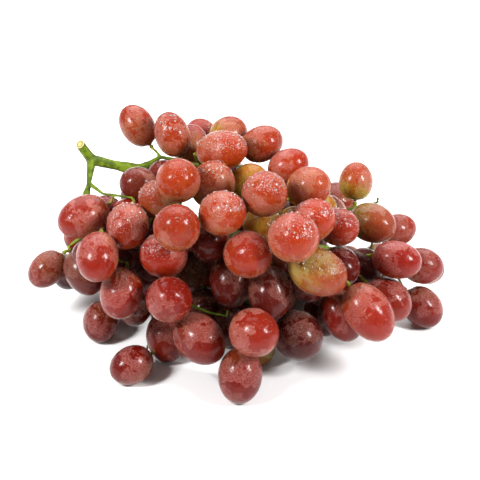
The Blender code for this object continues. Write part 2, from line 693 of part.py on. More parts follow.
class Burrows:
    """The free room between the berries, as a grid that stalks are routed through."""

    def __init__(self, berries, laid_count):
        self.corner = berries.centre.min(axis=0) - ROOM_MARGIN
        far = berries.centre.max(axis=0) + ROOM_MARGIN
        self.shape = tuple(((far - self.corner) // GRID + 1).astype(int))
        self.strides = np.array((self.shape[1] * self.shape[2], self.shape[2], 1))
        room = room_field(berries, self.corner, self.shape)
        free = (room > PATH_ROOM) & (room < OUTSIDE)
        heights = self.corner[2] + GRID * np.arange(self.shape[2])
        free &= np.broadcast_to(heights > LOWEST_STALK, self.shape)
        inner = np.zeros(self.shape, dtype=bool)
        inner[1:-1, 1:-1, 1:-1] = True
        free &= inner
        toll = 1.0 + PATH_SHY / np.maximum(room, LEAST_ROOM)
        axes = [self.corner[k] + GRID * np.arange(self.shape[k]) for k in range(3)]
        points = np.stack(np.meshgrid(*axes, indexing="ij"), axis=-1)
        toll[~behind_laid(berries, laid_count, points, HIDDEN_SHARE)] *= SHOWING_TOLL
        self.free = free.ravel().tolist()
        self.toll = toll.ravel().tolist()
        self.steps = []
        for offset in np.ndindex(3, 3, 3):
            move = np.array(offset) - 1
            if move.any():
                self.steps.append((int(move @ self.strides), GRID * float(lengths(move))))
        self.root = {}

    def spot(self, point):
        cell = np.rint((np.asarray(point) - self.corner) / GRID).astype(int)
        return int(np.clip(cell, 1, np.array(self.shape) - 2) @ self.strides)

    def place(self, spot):
        return self.corner + np.array(np.unravel_index(spot, self.shape)) * GRID

    def take_root(self, stalk, index):
        """Let later stalks join the stalk at one of its points."""
        spot = self.spot(stalk.point[index])
        away = LOYALTY * stalk.away[index]
        for step, length in self.steps + [(0, 0.0)]:
            joint = (away + length, index)
            if self.free[spot + step]:
                if spot + step not in self.root or joint < self.root[spot + step]:
                    self.root[spot + step] = joint

    def way_to_stalk(self, starts):
        """Cheapest way from any of the starts to a point of the stalk."""
        cost = dict(starts)
        came = {}
        queue = [(spent, spot) for spot, spent in starts.items()]
        heapq.heapify(queue)
        best = (math.inf, None, None)
        while queue and queue[0][0] < best[0]:
            spent, spot = heapq.heappop(queue)
            if spent > cost[spot]:
                continue
            if spot in self.root:
                away, index = self.root[spot]
                best = min(best, (spent + away, spot, index), key=lambda found: found[0])
            for step, length in self.steps:
                beside = spot + step
                if self.free[beside]:
                    total = spent + length * self.toll[beside]
                    if total < cost.get(beside, math.inf):
                        cost[beside] = total
                        came[beside] = spot
                        heapq.heappush(queue, (total, beside))
        _, spot, index = best
        way = []
        while spot is not None:
            way.append(spot)
            spot = came.get(spot)
        return way, index


def starts_near(berries, burrows, point):
    """Free grid points that a stalk can reach straight from a point."""
    reach = math.ceil(TARGET_REACH / GRID)
    found = []
    middle = burrows.spot(point)
    for offset in np.ndindex(*(2 * reach + 1,) * 3):
        spot = middle + int((np.array(offset) - reach) @ burrows.strides)
        if 0 <= spot < len(burrows.free) and burrows.free[spot]:
            found.append((float(lengths(burrows.place(spot) - point)), spot))
    found.sort()
    starts = {}
    for away, spot in found[:START_TRIES]:
        if run_room(berries, burrows.place(spot), point) > FINEST + FIT_GAP:
            starts[spot] = START_TOLL * away
            if len(starts) == START_CHOICES:
                break
    return starts


def route_stalks(berries, stalk, laid_count):
    """Grow a stalk to every berry and bare twig through the room between the berries."""
    burrows = Burrows(berries, laid_count)
    for index in range(len(stalk.point)):
        burrows.take_root(stalk, index)
    approach = berries.stalk_end(APPROACH)
    button = berries.stalk_end(FIT_GAP)
    ends = [(approach[berry], [button[berry]], berry) for berry in range(berries.count())]
    twig = [point for run, _ in BARE_TWIGS for point in finely(run, STALK_STEP)]
    ends.append((twig[0], twig[1:], None))
    trunk = np.array(stalk.point)
    ends.sort(key=lambda end: lengths(trunk - end[0]).min())
    missed = []
    for start, beyond, berry in ends:
        starts = starts_near(berries, burrows, start)
        way, last = burrows.way_to_stalk(starts)
        if last is None:
            missed.append(berry)
            continue
        joint = stalk.point[last]
        for spot in way:
            last = stalk.grow(burrows.place(spot), last)
            if lengths(stalk.point[last] - joint) > JOINT_STEP:
                burrows.take_root(stalk, last)
                joint = stalk.point[last]
        for point in [start] + beyond:
            last = stalk.grow(point, last, fixed=True, berry=berry)
    return missed


def smooth_stalk(berries, stalk):
    """Straighten the routed stalks without pushing them into a berry."""
    children = stalk.children()
    loose = [index for index, fixed in enumerate(stalk.fixed) if not fixed]
    for _ in range(SMOOTHINGS):
        point = np.array(stalk.point)
        target = []
        for index in loose:
            near = [stalk.parent[index]] + children[index]
            middle = point[near].mean(axis=0)
            target.append((1 - SMOOTH_SHARE) * point[index] + SMOOTH_SHARE * middle)
        now = room_at(berries, point[loose])
        then = room_at(berries, target)
        for index, place, old, new in zip(loose, target, now, then):
            if new >= min(old, ROOMY):
                stalk.point[index] = place


def carried(stalk):
    """How many berries hang on each point of the stalk."""
    children = stalk.children()
    total = [0] * len(children)
    for index in range(len(children) - 1, -1, -1):
        if stalk.berry[index] is not None and not children[index]:
            total[index] = 1
        if stalk.parent[index] is not None:
            total[stalk.parent[index]] += total[index]
    return total


def stalk_tubes(berries, stalk):
    """Split the stalk into tubes: lists of (point, half thickness), thickest way first."""
    children = stalk.children()
    load = carried(stalk)
    room = room_at(berries, stalk.point, stalk.berry) - FIT_GAP
    half = []
    for index, count in enumerate(load):
        wanted = PEDICEL_THICKNESS / 2 * max(count, 1) ** SAP_POWER
        if len(children[index]) > 1:
            wanted *= FORK_SWELL
        half.append(min(wanted, max(room[index], FINEST)))
    half[0] = PEDUNCLE_THICKNESS / 2
    tubes = []
    starts = [(None, 0)]
    while starts:
        fork, index = starts.pop()
        chain = [] if fork is None else [fork]
        while True:
            chain.append(index)
            if not children[index]:
                break
            onward = max(children[index], key=lambda child: (load[child], -child))
            starts.extend((index, child) for child in children[index] if child != onward)
            index = onward
        tube = thin_out(berries, stalk, children, half, chain)
        tubes.append((tube, FINE_STALK_BEVEL if load[chain[1]] < 2 else STALK_BEVEL))
    return tubes


def thin_out(berries, stalk, children, half, chain):
    """Drop the points of a chain that a straight piece can do without."""
    kept = [0]
    while kept[-1] < len(chain) - 1:
        start = kept[-1]
        best = start + 1
        for end in range(start + 1, len(chain)):
            passed = chain[start + 1:end]
            if any(must_stay(stalk, children, index) for index in passed):
                break
            first = stalk.point[chain[start]]
            last = stalk.point[chain[end]]
            if end > start + 1 and lengths(last - first) > STRAIGHT_MOST:
                break
            thick = max(half[index] for index in chain[start:end + 1])
            if end > start + 1 and strays(stalk, first, last, passed):
                continue
            if end == start + 1 or run_room(berries, first, last) >= thick + FIT_GAP:
                best = end
        kept.append(best)
    tube = []
    for place in kept:
        index = chain[place]
        thick = half[index]
        if stalk.berry[index] is not None and not children[index]:
            thick = RECEPTACLE_WIDTH / 2
        tube.append([stalk.point[index], thick, stalk.berry[index]])
    for before, after in zip(tube[:-1], tube[1:]):
        own = after[2]
        least = run_room(berries, before[0], after[0], own) - FIT_GAP
        before[1] = max(min(before[1], least), FINEST)
        after[1] = max(min(after[1], least), FINEST)
    return [(point, thick) for point, thick, _ in tube]


def must_stay(stalk, children, index):
    return len(children[index]) > 1 or stalk.berry[index] is not None


def strays(stalk, first, last, passed):
    """True if any passed point lies too far off the straight line."""
    along = last - first
    along = along / lengths(along)
    for index in passed:
        offset = stalk.point[index] - first
        if lengths(offset - (offset @ along) * along) > STRAY_MOST:
            return True
    return False


# ------------------------------------------------------------------ materials

SKINS = {
    "red": ((0.42, 0.045, 0.030), 0.32),
    "rose": ((0.47, 0.130, 0.100), 0.42),
    "amber": ((0.55, 0.200, 0.050), 0.32),
    "dark": ((0.16, 0.020, 0.018), 0.34),
    "mixed": ((0.36, 0.060, 0.040), 0.38),
}
STALK_COLOUR = ((0.22, 0.300, 0.050), 0.60)


def material(name, colour, roughness):
    found = bpy.data.materials.get(name)
    if found:
        return found
    made = bpy.data.materials.new(name)
    made.use_nodes = True
    shader = made.node_tree.nodes["Principled BSDF"]
    shader.inputs["Base Color"].default_value = (*colour, 1.0)
    shader.inputs["Roughness"].default_value = roughness
    shader.inputs["Metallic"].default_value = 0.0
    made.diffuse_color = (*colour, 1.0)
    return made


# ------------------------------------------------------------------ building

WELD = 1e-5                 # points closer than this are one


def new_object(name, mesh, collection):
    piece = bpy.data.objects.new(name, mesh)
    collection.objects.link(piece)
    return piece


def ball(berries, index, name, collection, cluster):
    """One berry as a closed faceted ball along its own axis."""
    mesh = bpy.data.meshes.new(name)
    shape = bmesh.new()
    axis = Vector(berries.axis[index])
    turn = axis.to_track_quat("Z", "Y").to_matrix().to_4x4()
    wide = berries.half_width[index]
    size = Matrix.Diagonal((wide, wide, berries.half_length[index], 1.0))
    place = Matrix.Translation(Vector(berries.centre[index])) @ turn @ size
    if cluster:
        bmesh.ops.create_icosphere(shape, subdivisions=CLUSTER_ICO_STEPS, radius=1.0, matrix=place)
    else:
        bmesh.ops.create_uvsphere(shape, u_segments=BERRY_SEGMENTS, v_segments=BERRY_RINGS,
                                  radius=1.0, matrix=place)
    bmesh.ops.recalc_face_normals(shape, faces=shape.faces)
    shape.to_mesh(mesh)
    shape.free()
    return new_object(name, mesh, collection)


def unite(piece, others):
    """Join other solids into a piece, so that they become one closed body."""
    helpers = bpy.data.collections.new(piece.name + ".joined")
    bpy.context.scene.collection.children.link(helpers)
    for other in others:
        for holder in list(other.users_collection):
            holder.objects.unlink(other)
        helpers.objects.link(other)
    joint = piece.modifiers.new("join", "BOOLEAN")
    joint.operation = "UNION"
    joint.operand_type = "COLLECTION"
    joint.collection = helpers
    joint.solver = "EXACT"
    bake(piece)
    for other in others:
        bpy.data.objects.remove(other)
    bpy.data.collections.remove(helpers)


def closed_skins(shape):
    """The faces of each closed skin of a mesh, the largest skin last."""
    left = set(shape.faces)
    skins = []
    for start in shape.faces:
        if start not in left:
            continue
        left.remove(start)
        skin = [start]
        for face in skin:
            for edge in face.edges:
                if len(edge.link_faces) == 2:
                    for beside in edge.link_faces:
                        if beside in left:
                            left.remove(beside)
                            skin.append(beside)
        skins.append(skin)
    skins.sort(key=len)
    return skins


def keep_skin(piece, which):
    """Keep one closed skin of a piece and remove the others."""
    shape = bmesh.new()
    shape.from_mesh(piece.data)
    skins = closed_skins(shape)
    others = [face for skin in skins if skin is not skins[which] for face in skin]
    bmesh.ops.delete(shape, geom=others, context="FACES")
    shape.to_mesh(piece.data)
    shape.free()


def part_bodies(piece, collection):
    """A piece and, where it came out as bodies that stand apart, each of them as a piece."""
    shape = bmesh.new()
    shape.from_mesh(piece.data)
    count = len(closed_skins(shape))
    shape.free()
    bodies = [piece]
    for which in range(count - 1):
        body = new_object(piece.name, piece.data.copy(), collection)
        keep_skin(body, which)
        bodies.append(body)
    if count > 1:
        keep_skin(piece, -1)
    return bodies


def merge_slivers(piece):
    """Merge the small, nearly level faces that joining leaves at the forks."""
    shape = bmesh.new()
    shape.from_mesh(piece.data)
    bmesh.ops.dissolve_limit(shape, angle_limit=LEVEL_ANGLE, verts=shape.verts[:],
                             edges=shape.edges[:])
    shape.to_mesh(piece.data)
    shape.free()


def bake(piece):
    """Make a piece's modifiers part of its mesh."""
    bpy.context.view_layer.update()
    graph = bpy.context.evaluated_depsgraph_get()
    mesh = bpy.data.meshes.new_from_object(piece.evaluated_get(graph))
    old = piece.data
    piece.modifiers.clear()
    piece.data = mesh
    bpy.data.meshes.remove(old)


def press_flat(piece):
    """Flatten whatever sags below the resting surface."""
    shape = bmesh.new()
    shape.from_mesh(piece.data)
    if min(vertex.co.z for vertex in shape.verts) < 0.0:
        everything = shape.verts[:] + shape.edges[:] + shape.faces[:]
        bmesh.ops.bisect_plane(shape, geom=everything, dist=WELD, plane_co=(0, 0, 0),
                               plane_no=(0, 0, 1), clear_inner=True)
        rim = [edge for edge in shape.edges if edge.is_boundary]
        bmesh.ops.contextual_create(shape, geom=rim)
        bmesh.ops.recalc_face_normals(shape, faces=shape.faces)
        shape.to_mesh(piece.data)
    shape.free()


def tube_object(name, tube, bevel, collection):
    """A round stalk through points, with its own thickness at each."""
    curve = bpy.data.curves.new(name, "CURVE")
    curve.dimensions = "3D"
    curve.bevel_mode = "ROUND"
    curve.bevel_depth = 1.0
    curve.bevel_resolution = bevel
    curve.use_fill_caps = True
    line = curve.splines.new("POLY")
    line.points.add(len(tube) - 1)
    for spot, (point, half) in zip(line.points, tube):
        spot.co = (*point, 1.0)
        spot.radius = half
    guide = bpy.data.objects.new(name, curve)
    collection.objects.link(guide)
    bpy.context.view_layer.update()
    graph = bpy.context.evaluated_depsgraph_get()
    mesh = bpy.data.meshes.new_from_object(guide.evaluated_get(graph))
    bpy.data.objects.remove(guide)
    bpy.data.curves.remove(curve)
    shape = bmesh.new()
    shape.from_mesh(mesh)
    bmesh.ops.remove_doubles(shape, verts=shape.verts, dist=WELD)
    bmesh.ops.recalc_face_normals(shape, faces=shape.faces)
    shape.to_mesh(mesh)
    shape.free()
    return new_object(name, mesh, collection)


def finish(piece, offset, name, colour, roughness):
    """Move a piece to the bunch's own origin, in metres, and give it its skin."""
    piece.data.transform(Matrix.Scale(MM, 4) @ Matrix.Translation(offset))
    piece.data.materials.clear()
    piece.data.materials.append(material(name, colour, roughness))
    for face in piece.data.polygons:
        face.use_smooth = True
    piece.data.update()


def build():
    for old in list(bpy.data.objects):
        bpy.data.objects.remove(old)
    bunch = bpy.data.collections.new("grape_bunch")
    bpy.context.scene.collection.children.link(bunch)

    rods = laid_rods()
    berries = lay_berries()
    settle(berries, [], rods, np.zeros(berries.count(), dtype=bool))
    berries.home = berries.centre.copy()
    laid_count = berries.count()
    fill_berries(berries)
    settle(berries, [], rods, np.zeros(berries.count(), dtype=bool))
    clusters, bonds = cluster_berries(berries)
    rests = berries.lowest() < NEAR_SURFACE
    worst = settle(berries, bonds, rods, rests, steps=2 * SETTLE_STEPS)

    stalk = lay_stalk()
    missed = route_stalks(berries, stalk, laid_count)
    smooth_stalk(berries, stalk)
    tubes = stalk_tubes(berries, stalk)

    pieces = []
    trunk = tube_object("stem", *tubes[0], bunch)
    twigs = [tube_object("twig", tube, bevel, bunch) for tube, bevel in tubes[1:]]
    unite(trunk, twigs)
    merge_slivers(trunk)
    keep_skin(trunk, -1)
    pieces.append((trunk, "stem_skin", STALK_COLOUR))
    number = 0
    for index in range(berries.count()):
        if berries.single[index]:
            number += 1
            piece = ball(berries, index, f"berry_{number:02d}", bunch, False)
            pieces.append((piece, "skin_" + berries.skin[index], SKINS[berries.skin[index]]))
    pressed = []
    for cluster in clusters:
        piece = ball(berries, cluster[0], "pressed", bunch, True)
        others = [ball(berries, index, "other", bunch, True) for index in cluster[1:]]
        if others:
            unite(piece, others)
        pressed.extend(part_bodies(piece, bunch))
    for number, piece in enumerate(pressed, 1):
        piece.name = f"cluster_{number:02d}"
        pieces.append((piece, "skin_mixed", SKINS["mixed"]))

    for piece, _, _ in pieces:
        press_flat(piece)
    corners = np.array([vertex.co for piece, _, _ in pieces for vertex in piece.data.vertices])
    low = corners.min(axis=0)
    high = corners.max(axis=0)
    offset = Vector((-(low[0] + high[0]) / 2, -(low[1] + high[1]) / 2, -low[2]))
    for piece, name, (colour, roughness) in pieces:
        finish(piece, offset, name, colour, roughness)
    print(berries.count(), "berries; clusters", [len(cluster) for cluster in clusters],
          "; worst overlap", round(float(worst), 3), "mm; without a stalk:", missed)


build()
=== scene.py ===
"""The looks of a bunch of red table grapes.

Every berry is rebuilt, round and smooth, on the place and the size of its faceted solid. Berries that
press on each other or on the table are flattened there. The stalk is remeshed from its solid, and fine
drops of water sit on the upper side of some berries.

Each berry carries its own flesh colour, with a painted shade and a painted glow in it, its bloom and
wetness on its points, and a place in the skin's patterns, so that no two berries have the same patches.

Lengths are millimetres in this file unless a name ends in _M, and metres in the finished meshes.
"""

import json
import math
import random

import bmesh
import bpy
import numpy as np
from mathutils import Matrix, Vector, noise


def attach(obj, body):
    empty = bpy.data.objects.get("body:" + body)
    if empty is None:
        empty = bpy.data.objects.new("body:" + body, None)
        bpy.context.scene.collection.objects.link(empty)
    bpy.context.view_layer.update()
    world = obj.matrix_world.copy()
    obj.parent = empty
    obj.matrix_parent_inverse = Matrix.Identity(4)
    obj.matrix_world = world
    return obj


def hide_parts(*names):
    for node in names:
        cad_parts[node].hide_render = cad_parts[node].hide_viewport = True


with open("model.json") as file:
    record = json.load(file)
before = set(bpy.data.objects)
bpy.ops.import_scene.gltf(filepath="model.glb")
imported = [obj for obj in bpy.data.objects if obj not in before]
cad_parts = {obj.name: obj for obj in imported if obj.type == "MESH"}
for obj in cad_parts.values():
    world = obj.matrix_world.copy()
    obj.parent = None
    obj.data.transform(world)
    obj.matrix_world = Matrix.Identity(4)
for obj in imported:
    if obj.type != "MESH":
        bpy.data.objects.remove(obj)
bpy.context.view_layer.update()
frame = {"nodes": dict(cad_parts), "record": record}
SLOTS = {part["node"]: part["material_slot"] for part in frame["record"]["subparts"]}

MM = 0.001
SEED = 7

# ------------------------------------------------------------------ the show-side frame

# The show side faces -Y and leans back. Places below are (across, up, out) from the bunch's middle.
SHOW_LEAN = math.radians(35.0)
MIDDLE = np.array((1.4, -5.89, 50.0))
SHOW_FRAME = np.array((
    (1.0, 0.0, 0.0),
    (0.0, math.sin(SHOW_LEAN), math.cos(SHOW_LEAN)),
    (0.0, -math.cos(SHOW_LEAN), math.sin(SHOW_LEAN)),
))


def shown(across, up, out):
    """A point given along, up and out of the show side, as a point in space."""
    return MIDDLE + np.array((across, up, out)) @ SHOW_FRAME


def lengths(vectors):
    return np.linalg.norm(vectors, axis=-1)


# ------------------------------------------------------------------ finding the berries

CREASE = -0.15          # edges bent inwards more than this part two pressed berries
FEWEST_POINTS = 12
STRAY = 0.05            # points further than this off the fitted shape are left out
FITS = 3                # times the shape is fitted, each time with fewer stray points
ON_TABLE = 0.01         # points this low belong to the flat that a berry stands on
DOUBLED = 0.001
CONTACT_STEPS = 8


def node_shape(node):
    """A node's mesh with its doubled points merged, in millimetres."""
    shape = bmesh.new()
    shape.from_mesh(frame["nodes"][node].data)
    for vertex in shape.verts:
        vertex.co = vertex.co / MM
    bmesh.ops.remove_doubles(shape, verts=shape.verts[:], dist=DOUBLED)
    bmesh.ops.recalc_face_normals(shape, faces=shape.faces[:])
    return shape


def berry_points(node):
    """The points of each berry of a node, without those where it was cut."""
    shape = node_shape(node)
    crease = {edge for edge in shape.edges
              if len(edge.link_faces) != 2 or edge.calc_face_angle_signed(0.0) < CREASE}
    left = set(shape.faces)
    found = []
    for seed in shape.faces:
        if seed not in left:
            continue
        left.remove(seed)
        region = [seed]
        for face in region:
            for edge in face.edges:
                if edge in crease:
                    continue
                for beside in edge.link_faces:
                    if beside in left:
                        left.remove(beside)
                        region.append(beside)
        points = {vertex for face in region for vertex in face.verts
                  if vertex.co.z > ON_TABLE and not crease.intersection(vertex.link_edges)}
        if len(points) >= FEWEST_POINTS:
            found.append(np.array([vertex.co for vertex in shape.verts if vertex in points]))
    shape.free()
    return found


def fit_ellipsoid(points):
    """Centre, half axes and axis directions (rows, longest first) of the ellipsoid through points."""
    centre = np.zeros(3)
    middle = points.mean(axis=0)
    for _ in range(FITS):
        # The level is the quadric (x, y, z) form (x, y, z) + linear terms = 1 that fits best.
        x, y, z = (points - middle).T
        terms = np.stack((x * x, y * y, z * z, 2 * x * y, 2 * x * z, 2 * y * z, x, y, z), axis=1)
        level = np.linalg.lstsq(terms, np.ones(len(points)), rcond=None)[0]
        a, b, c, d, e, f = level[:6]
        form = np.array(((a, d, e), (d, b, f), (e, f, c)))
        centre = -0.5 * np.linalg.solve(form, level[6:])
        size = 1.0 + centre @ form @ centre
        values, ways = np.linalg.eigh(form / size)
        half = 1.0 / np.sqrt(np.maximum(values, 1e-6))
        off = (points - middle - centre) @ ways / half
        miss = np.abs(lengths(off) - 1.0) * half.min()
        if miss.max() < STRAY:
            break
        keep = miss <= max(STRAY, np.median(miss) * 3)
        if keep.sum() < FEWEST_POINTS:
            break
        points = points[keep]
    return middle + centre, half, ways.T


def stem_points():
    shape = node_shape("stem")
    points = np.array([vertex.co for vertex in shape.verts])
    shape.free()
    return points


class Berry:
    """One berry: its place, size and direction (axis, from stalk end to tip), and its node.

    colour_berries adds its tint, its tone with a painted shade, dust and wet, and make_berries its
    surface.
    """

    def __init__(self, node, points, stem):
        self.node = node
        self.centre, half, ways = fit_ellipsoid(points)
        self.half_length = half[0]
        self.half_width = (half[1] + half[2]) / 2
        self.axis = ways[0]
        ends = [self.centre + way * self.axis * self.half_length for way in (-1, 1)]
        away = [lengths(stem - end).min() for end in ends]
        if away[1] < away[0]:
            self.axis = -self.axis
        self.shown = SHOW_FRAME @ (self.centre - MIDDLE)
        self.presses = []


def find_berries():
    stem = stem_points()
    berries = []
    for node in sorted(frame["nodes"]):
        if node != "stem":
            berries.extend(Berry(node, points, stem) for points in berry_points(node))
    return berries


def support(berry, way):
    """The point of a berry that reaches furthest along a direction, from its centre."""
    wide = berry.half_width ** 2
    longer = berry.half_length ** 2 - wide
    pull = wide * way + longer * (way @ berry.axis) * berry.axis
    return pull / math.sqrt(way @ pull)


def contact(first, second):
    """The gap between two berries, the way from first to second and the point midway."""
    offset = second.centre - first.centre
    distance = lengths(offset)
    way = offset / distance
    for _ in range(CONTACT_STEPS):
        between = offset - support(first, way) - support(second, way)
        way = way + (between - (between @ way) * way) / distance
        way = way / lengths(way)
    near = first.centre + support(first, way)
    far = second.centre - support(second, way)
    return (far - near) @ way, way, (near + far) / 2


def find_presses(berries):
    """For every berry, the planes (point, way out) that its neighbours press it flat against."""
    for index, first in enumerate(berries):
        for second in berries[index + 1:]:
            if lengths(second.centre - first.centre) < first.half_length + second.half_length:
                gap, way, middle = contact(first, second)
                if gap < 0.0:
                    first.presses.append((middle, way))
                    second.presses.append((middle, -way))


# ------------------------------------------------------------------ colours of the berries

# Linear colours of the flesh showing through the skin: body of the berry, and its stalk end.
FLESH = {
    "red": ((0.370, 0.015, 0.003), (0.420, 0.068, 0.006)),
    "rose": ((0.420, 0.030, 0.008), (0.460, 0.110, 0.012)),
    "amber": ((0.420, 0.092, 0.034), (0.480, 0.310, 0.028)),
    "lime": ((0.520, 0.300, 0.030), (0.450, 0.380, 0.034)),
    "olive": ((0.170, 0.055, 0.011), (0.160, 0.085, 0.014)),
    "plum": ((0.220, 0.026, 0.020), (0.240, 0.045, 0.020)),
    "dark": ((0.150, 0.009, 0.003), (0.190, 0.035, 0.006)),
}

MIXED_TINTS = ("red", "rose", "red", "dark")        # what the berries of a mixed node may be
PALE = ("amber", "lime")

# Where the stalk end's colour starts (the berry's middle is 0), how softly: red berries, pale ones.
END_COLOUR = ((0.45, 0.16), (0.34, 0.20))
END_TILT = 0.35             # how far its edge leans
END_WAVE = 0.15             # how far its edge waves to and fro
END_WAVES = 1.3             # how close together the waves are

# Low in the bunch the flesh is darker, a painted shade, and the bloom thinner. Every pair is the value
# at the middle height and the change from there to the top.
MIDDLE_HEIGHT = 60.0
HALF_HEIGHT = 45.0
PAINTED_SHADE_BY_HEIGHT = (0.60, 0.25)
BLOOM = (0.86, 0.14)
LIGHT_CHANCE = (0.92, 1.06)     # berries differ by as much as this
BLOOM_CHANCE = (0.75, 1.0)

# Berries nearer the stalk's end are a little darker, a painted shade: value in the middle, change along
# the bunch.
PAINTED_SHADE_ALONG = (0.96, 0.08)
ALONG_REACH = 45.0

# Painted glow: red and rose flesh is painted warmer on its lower side, standing in for light that has
# gone through a berry.
PAINTED_GLOW_TINTS = ("red", "rose")
PAINTED_GLOW = (0.40, 0.092, 0.010)
PAINTED_GLOW_BELOW = (0.6, 0.4)     # value at the middle height, change from there to the top
PAINTED_GLOW_ON_TOP = 0.72          # the uppermost berries are painted this much warmer all over, a painted glow

# Berries whose colour stands out, by their place on the show side.
SPECIAL_FLESH = [
    ((2, 29, 12), "lime"), ((10.5, 9, 24), "lime"), ((45, 19, 0), "lime"), ((8, -54, 9), "lime"),
    ((24, 14, 14), "lime"), ((17, -14, 14), "amber"), ((-23, -21, 14), "olive"),
    ((-17, -5, 20), "dark"), ((-78, -8, 12), "plum"), ((-55, -7, 4), "dark"),
    ((-51.5, -35, 2), "dark"), ((-45, -17.5, 4), "dark"), ((54.5, -8, 8), "dark"),
    ((61, -13, -4), "dark"), ((31.5, -23.5, 14), "dark"), ((40, -39, 2), "dark"),
    ((-18, -33, 6), "dark"), ((-3, -42, 10), "dark"), ((-79, -16, -2), "plum"),
    ((-41, 29, -8), "plum"), ((-46, 25.5, 0), "plum"), ((-52.5, 20.5, -12), "plum"),
    ((-57.5, 12.5, 4), "rose"), ((-68, 13.5, -6), "red"), ((81, 6, -20), "rose"),
    ((56, -23.5, 0), "rose"), ((-20, 53, -36), "rose"), ((94.5, -14, -34), "red"),
    ((-42, 20, 12), "amber"), ((66.5, 8.5, -3.6), "amber"),
]

# Berries with drops of water on them: place and how many drops.
WET = [
    ((-34, 53, -14), 70), ((-9, 44.5, 4), 170), ((12, 22, 38), 150), ((-8.5, 13, 42), 170),
    ((-31, 5.5, 42), 15), ((-42, 20, 12), 90), ((-54, 6.5, 24), 140), ((-37, -6, 24), 130),
    ((38, -15.5, 36), 130), ((26, 1.3, 48), 110), ((-30, 29, 24), 12), ((36, 9.5, 32), 90),
    ((48.5, 6, 20), 80), ((-13.5, 27.5, 16), 70),
]
MOST_DROPS = 170
MIST = 0.25                 # wetness of the berries that are not in the list


def nearest_berry(berries, place):
    return min(berries, key=lambda berry: lengths(berry.shown - np.array(place)))


def berry_height(berry):
    """How high a berry lies: -1 at the table, 0 in the middle, near 1 at the top of the bunch."""
    return np.clip((berry.centre[2] - MIDDLE_HEIGHT) / HALF_HEIGHT, -1.0, 1.0)


def changed(pair, share):
    """The pair's middling value with its change added, for a share from -1 to 1."""
    middling, change = pair
    return middling + change * share


def colour_berries(berries, dice):
    """Give every berry its tint, its tone with a painted shade (darker low in the bunch and towards the
    stalk's end), and how dusty and how wet it is.
    """
    for berry in berries:
        tint = SLOTS[berry.node].removeprefix("skin_")
        if tint == "mixed":
            tint = dice.choice(MIXED_TINTS)
        berry.tint = tint
    for place, tint in SPECIAL_FLESH:
        nearest_berry(berries, place).tint = tint
    for berry in berries:
        berry.dust = dice.uniform(*BLOOM_CHANCE)
        height = berry_height(berry)
        # Each berry's own random tone, times a painted shade: darker low in the bunch and towards the
        # stalk's end.
        berry.light = dice.uniform(*LIGHT_CHANCE) * changed(PAINTED_SHADE_BY_HEIGHT, height)
        berry.light *= changed(PAINTED_SHADE_ALONG, np.clip(berry.centre[0] / ALONG_REACH, -1.0, 1.0))
        berry.dust *= changed(BLOOM, height)
        berry.wet = MIST
    for place, drops in WET:
        nearest_berry(berries, place).wet = MIST + (1.0 - MIST) * drops / MOST_DROPS


# ------------------------------------------------------------------ the berries' meshes

SEGMENTS = 64
RINGS = 44
POLE_CROWDING = 0.1         # rings lie closer together towards both ends
EGG = 0.02                  # how much slimmer the tip is than the stalk end
EGG_CHANCE = 0.015
LUMP = 0.07                 # height of the soft unevenness
LUMP_WAVES = 6
LUMP_CLOSENESS = 2.2
PRESS_GAP = 0.03            # half the gap that is left between berries that press on each other
PRESS_SOFTNESS = 0.22       # roundness of the edge of a flattened side
TABLE_SOFTNESS = 0.15
DIMPLE = 0.55               # depth of the hollow round the stalk
DIMPLE_REACH = 3.0
BUTTON = 0.80               # height of the collar that the stalk grows into
BUTTON_REACH = 1.4
SCAR = 0.28                 # depth of the scar at the tip
SCAR_REACH = 0.9
UPPER_WAY = np.array((0.0, 0.29, 0.957))        # drops, mist and most of the bloom face this way
# Bloom on a berry's flanks, and what the upper side has more: red berries, then pale ones.
DUST_RANGE = ((0.72, 0.28), (0.65, 0.75))
WET_FLANK = 0.35            # wetness of the flanks, as a share of the upper side's
RUB_TILT = 0.35             # how far from the tip the side that is rubbed most may lie
FAR_APART = 400.0           # keeps the patterns of two berries from being the same


def soft_floor(values, softness):
    """Values kept above zero, with a soft bend where they would go below."""
    return softness * np.logaddexp(0.0, values / softness)


def berry_grid():
    """Directions of a berry's points, as (across, across, along) on the unit ball, and faces."""
    steps = np.linspace(0.0, 1.0, RINGS + 1)[1:-1]
    polar = math.pi * (steps - POLE_CROWDING * np.sin(math.tau * steps))
    turns = np.arange(SEGMENTS) / SEGMENTS * math.tau
    ring = np.stack((np.cos(turns), np.sin(turns)), axis=1)
    points = [np.array(((0.0, 0.0, -1.0),))]
    for angle in polar:
        height = np.full((SEGMENTS, 1), -math.cos(angle))
        points.append(np.hstack((math.sin(angle) * ring, height)))
    points.append(np.array(((0.0, 0.0, 1.0),)))
    faces = []
    last = 1 + (RINGS - 2) * SEGMENTS
    for k in range(SEGMENTS):
        onward = (k + 1) % SEGMENTS
        faces.append((0, 1 + onward, 1 + k))
        for row in range(RINGS - 2):
            low = 1 + row * SEGMENTS
            high = low + SEGMENTS
            faces.append((low + k, low + onward, high + onward, high + k))
        faces.append((last + k, last + onward, last + SEGMENTS))
    return np.vstack(points), faces


def sideways(axis):
    """Two directions square to an axis and to each other."""
    start = np.array((0.0, 0.0, 1.0)) if abs(axis[2]) < 0.9 else np.array((1.0, 0.0, 0.0))
    first = np.cross(start, axis)
    first = first / lengths(first)
    return first, np.cross(axis, first)


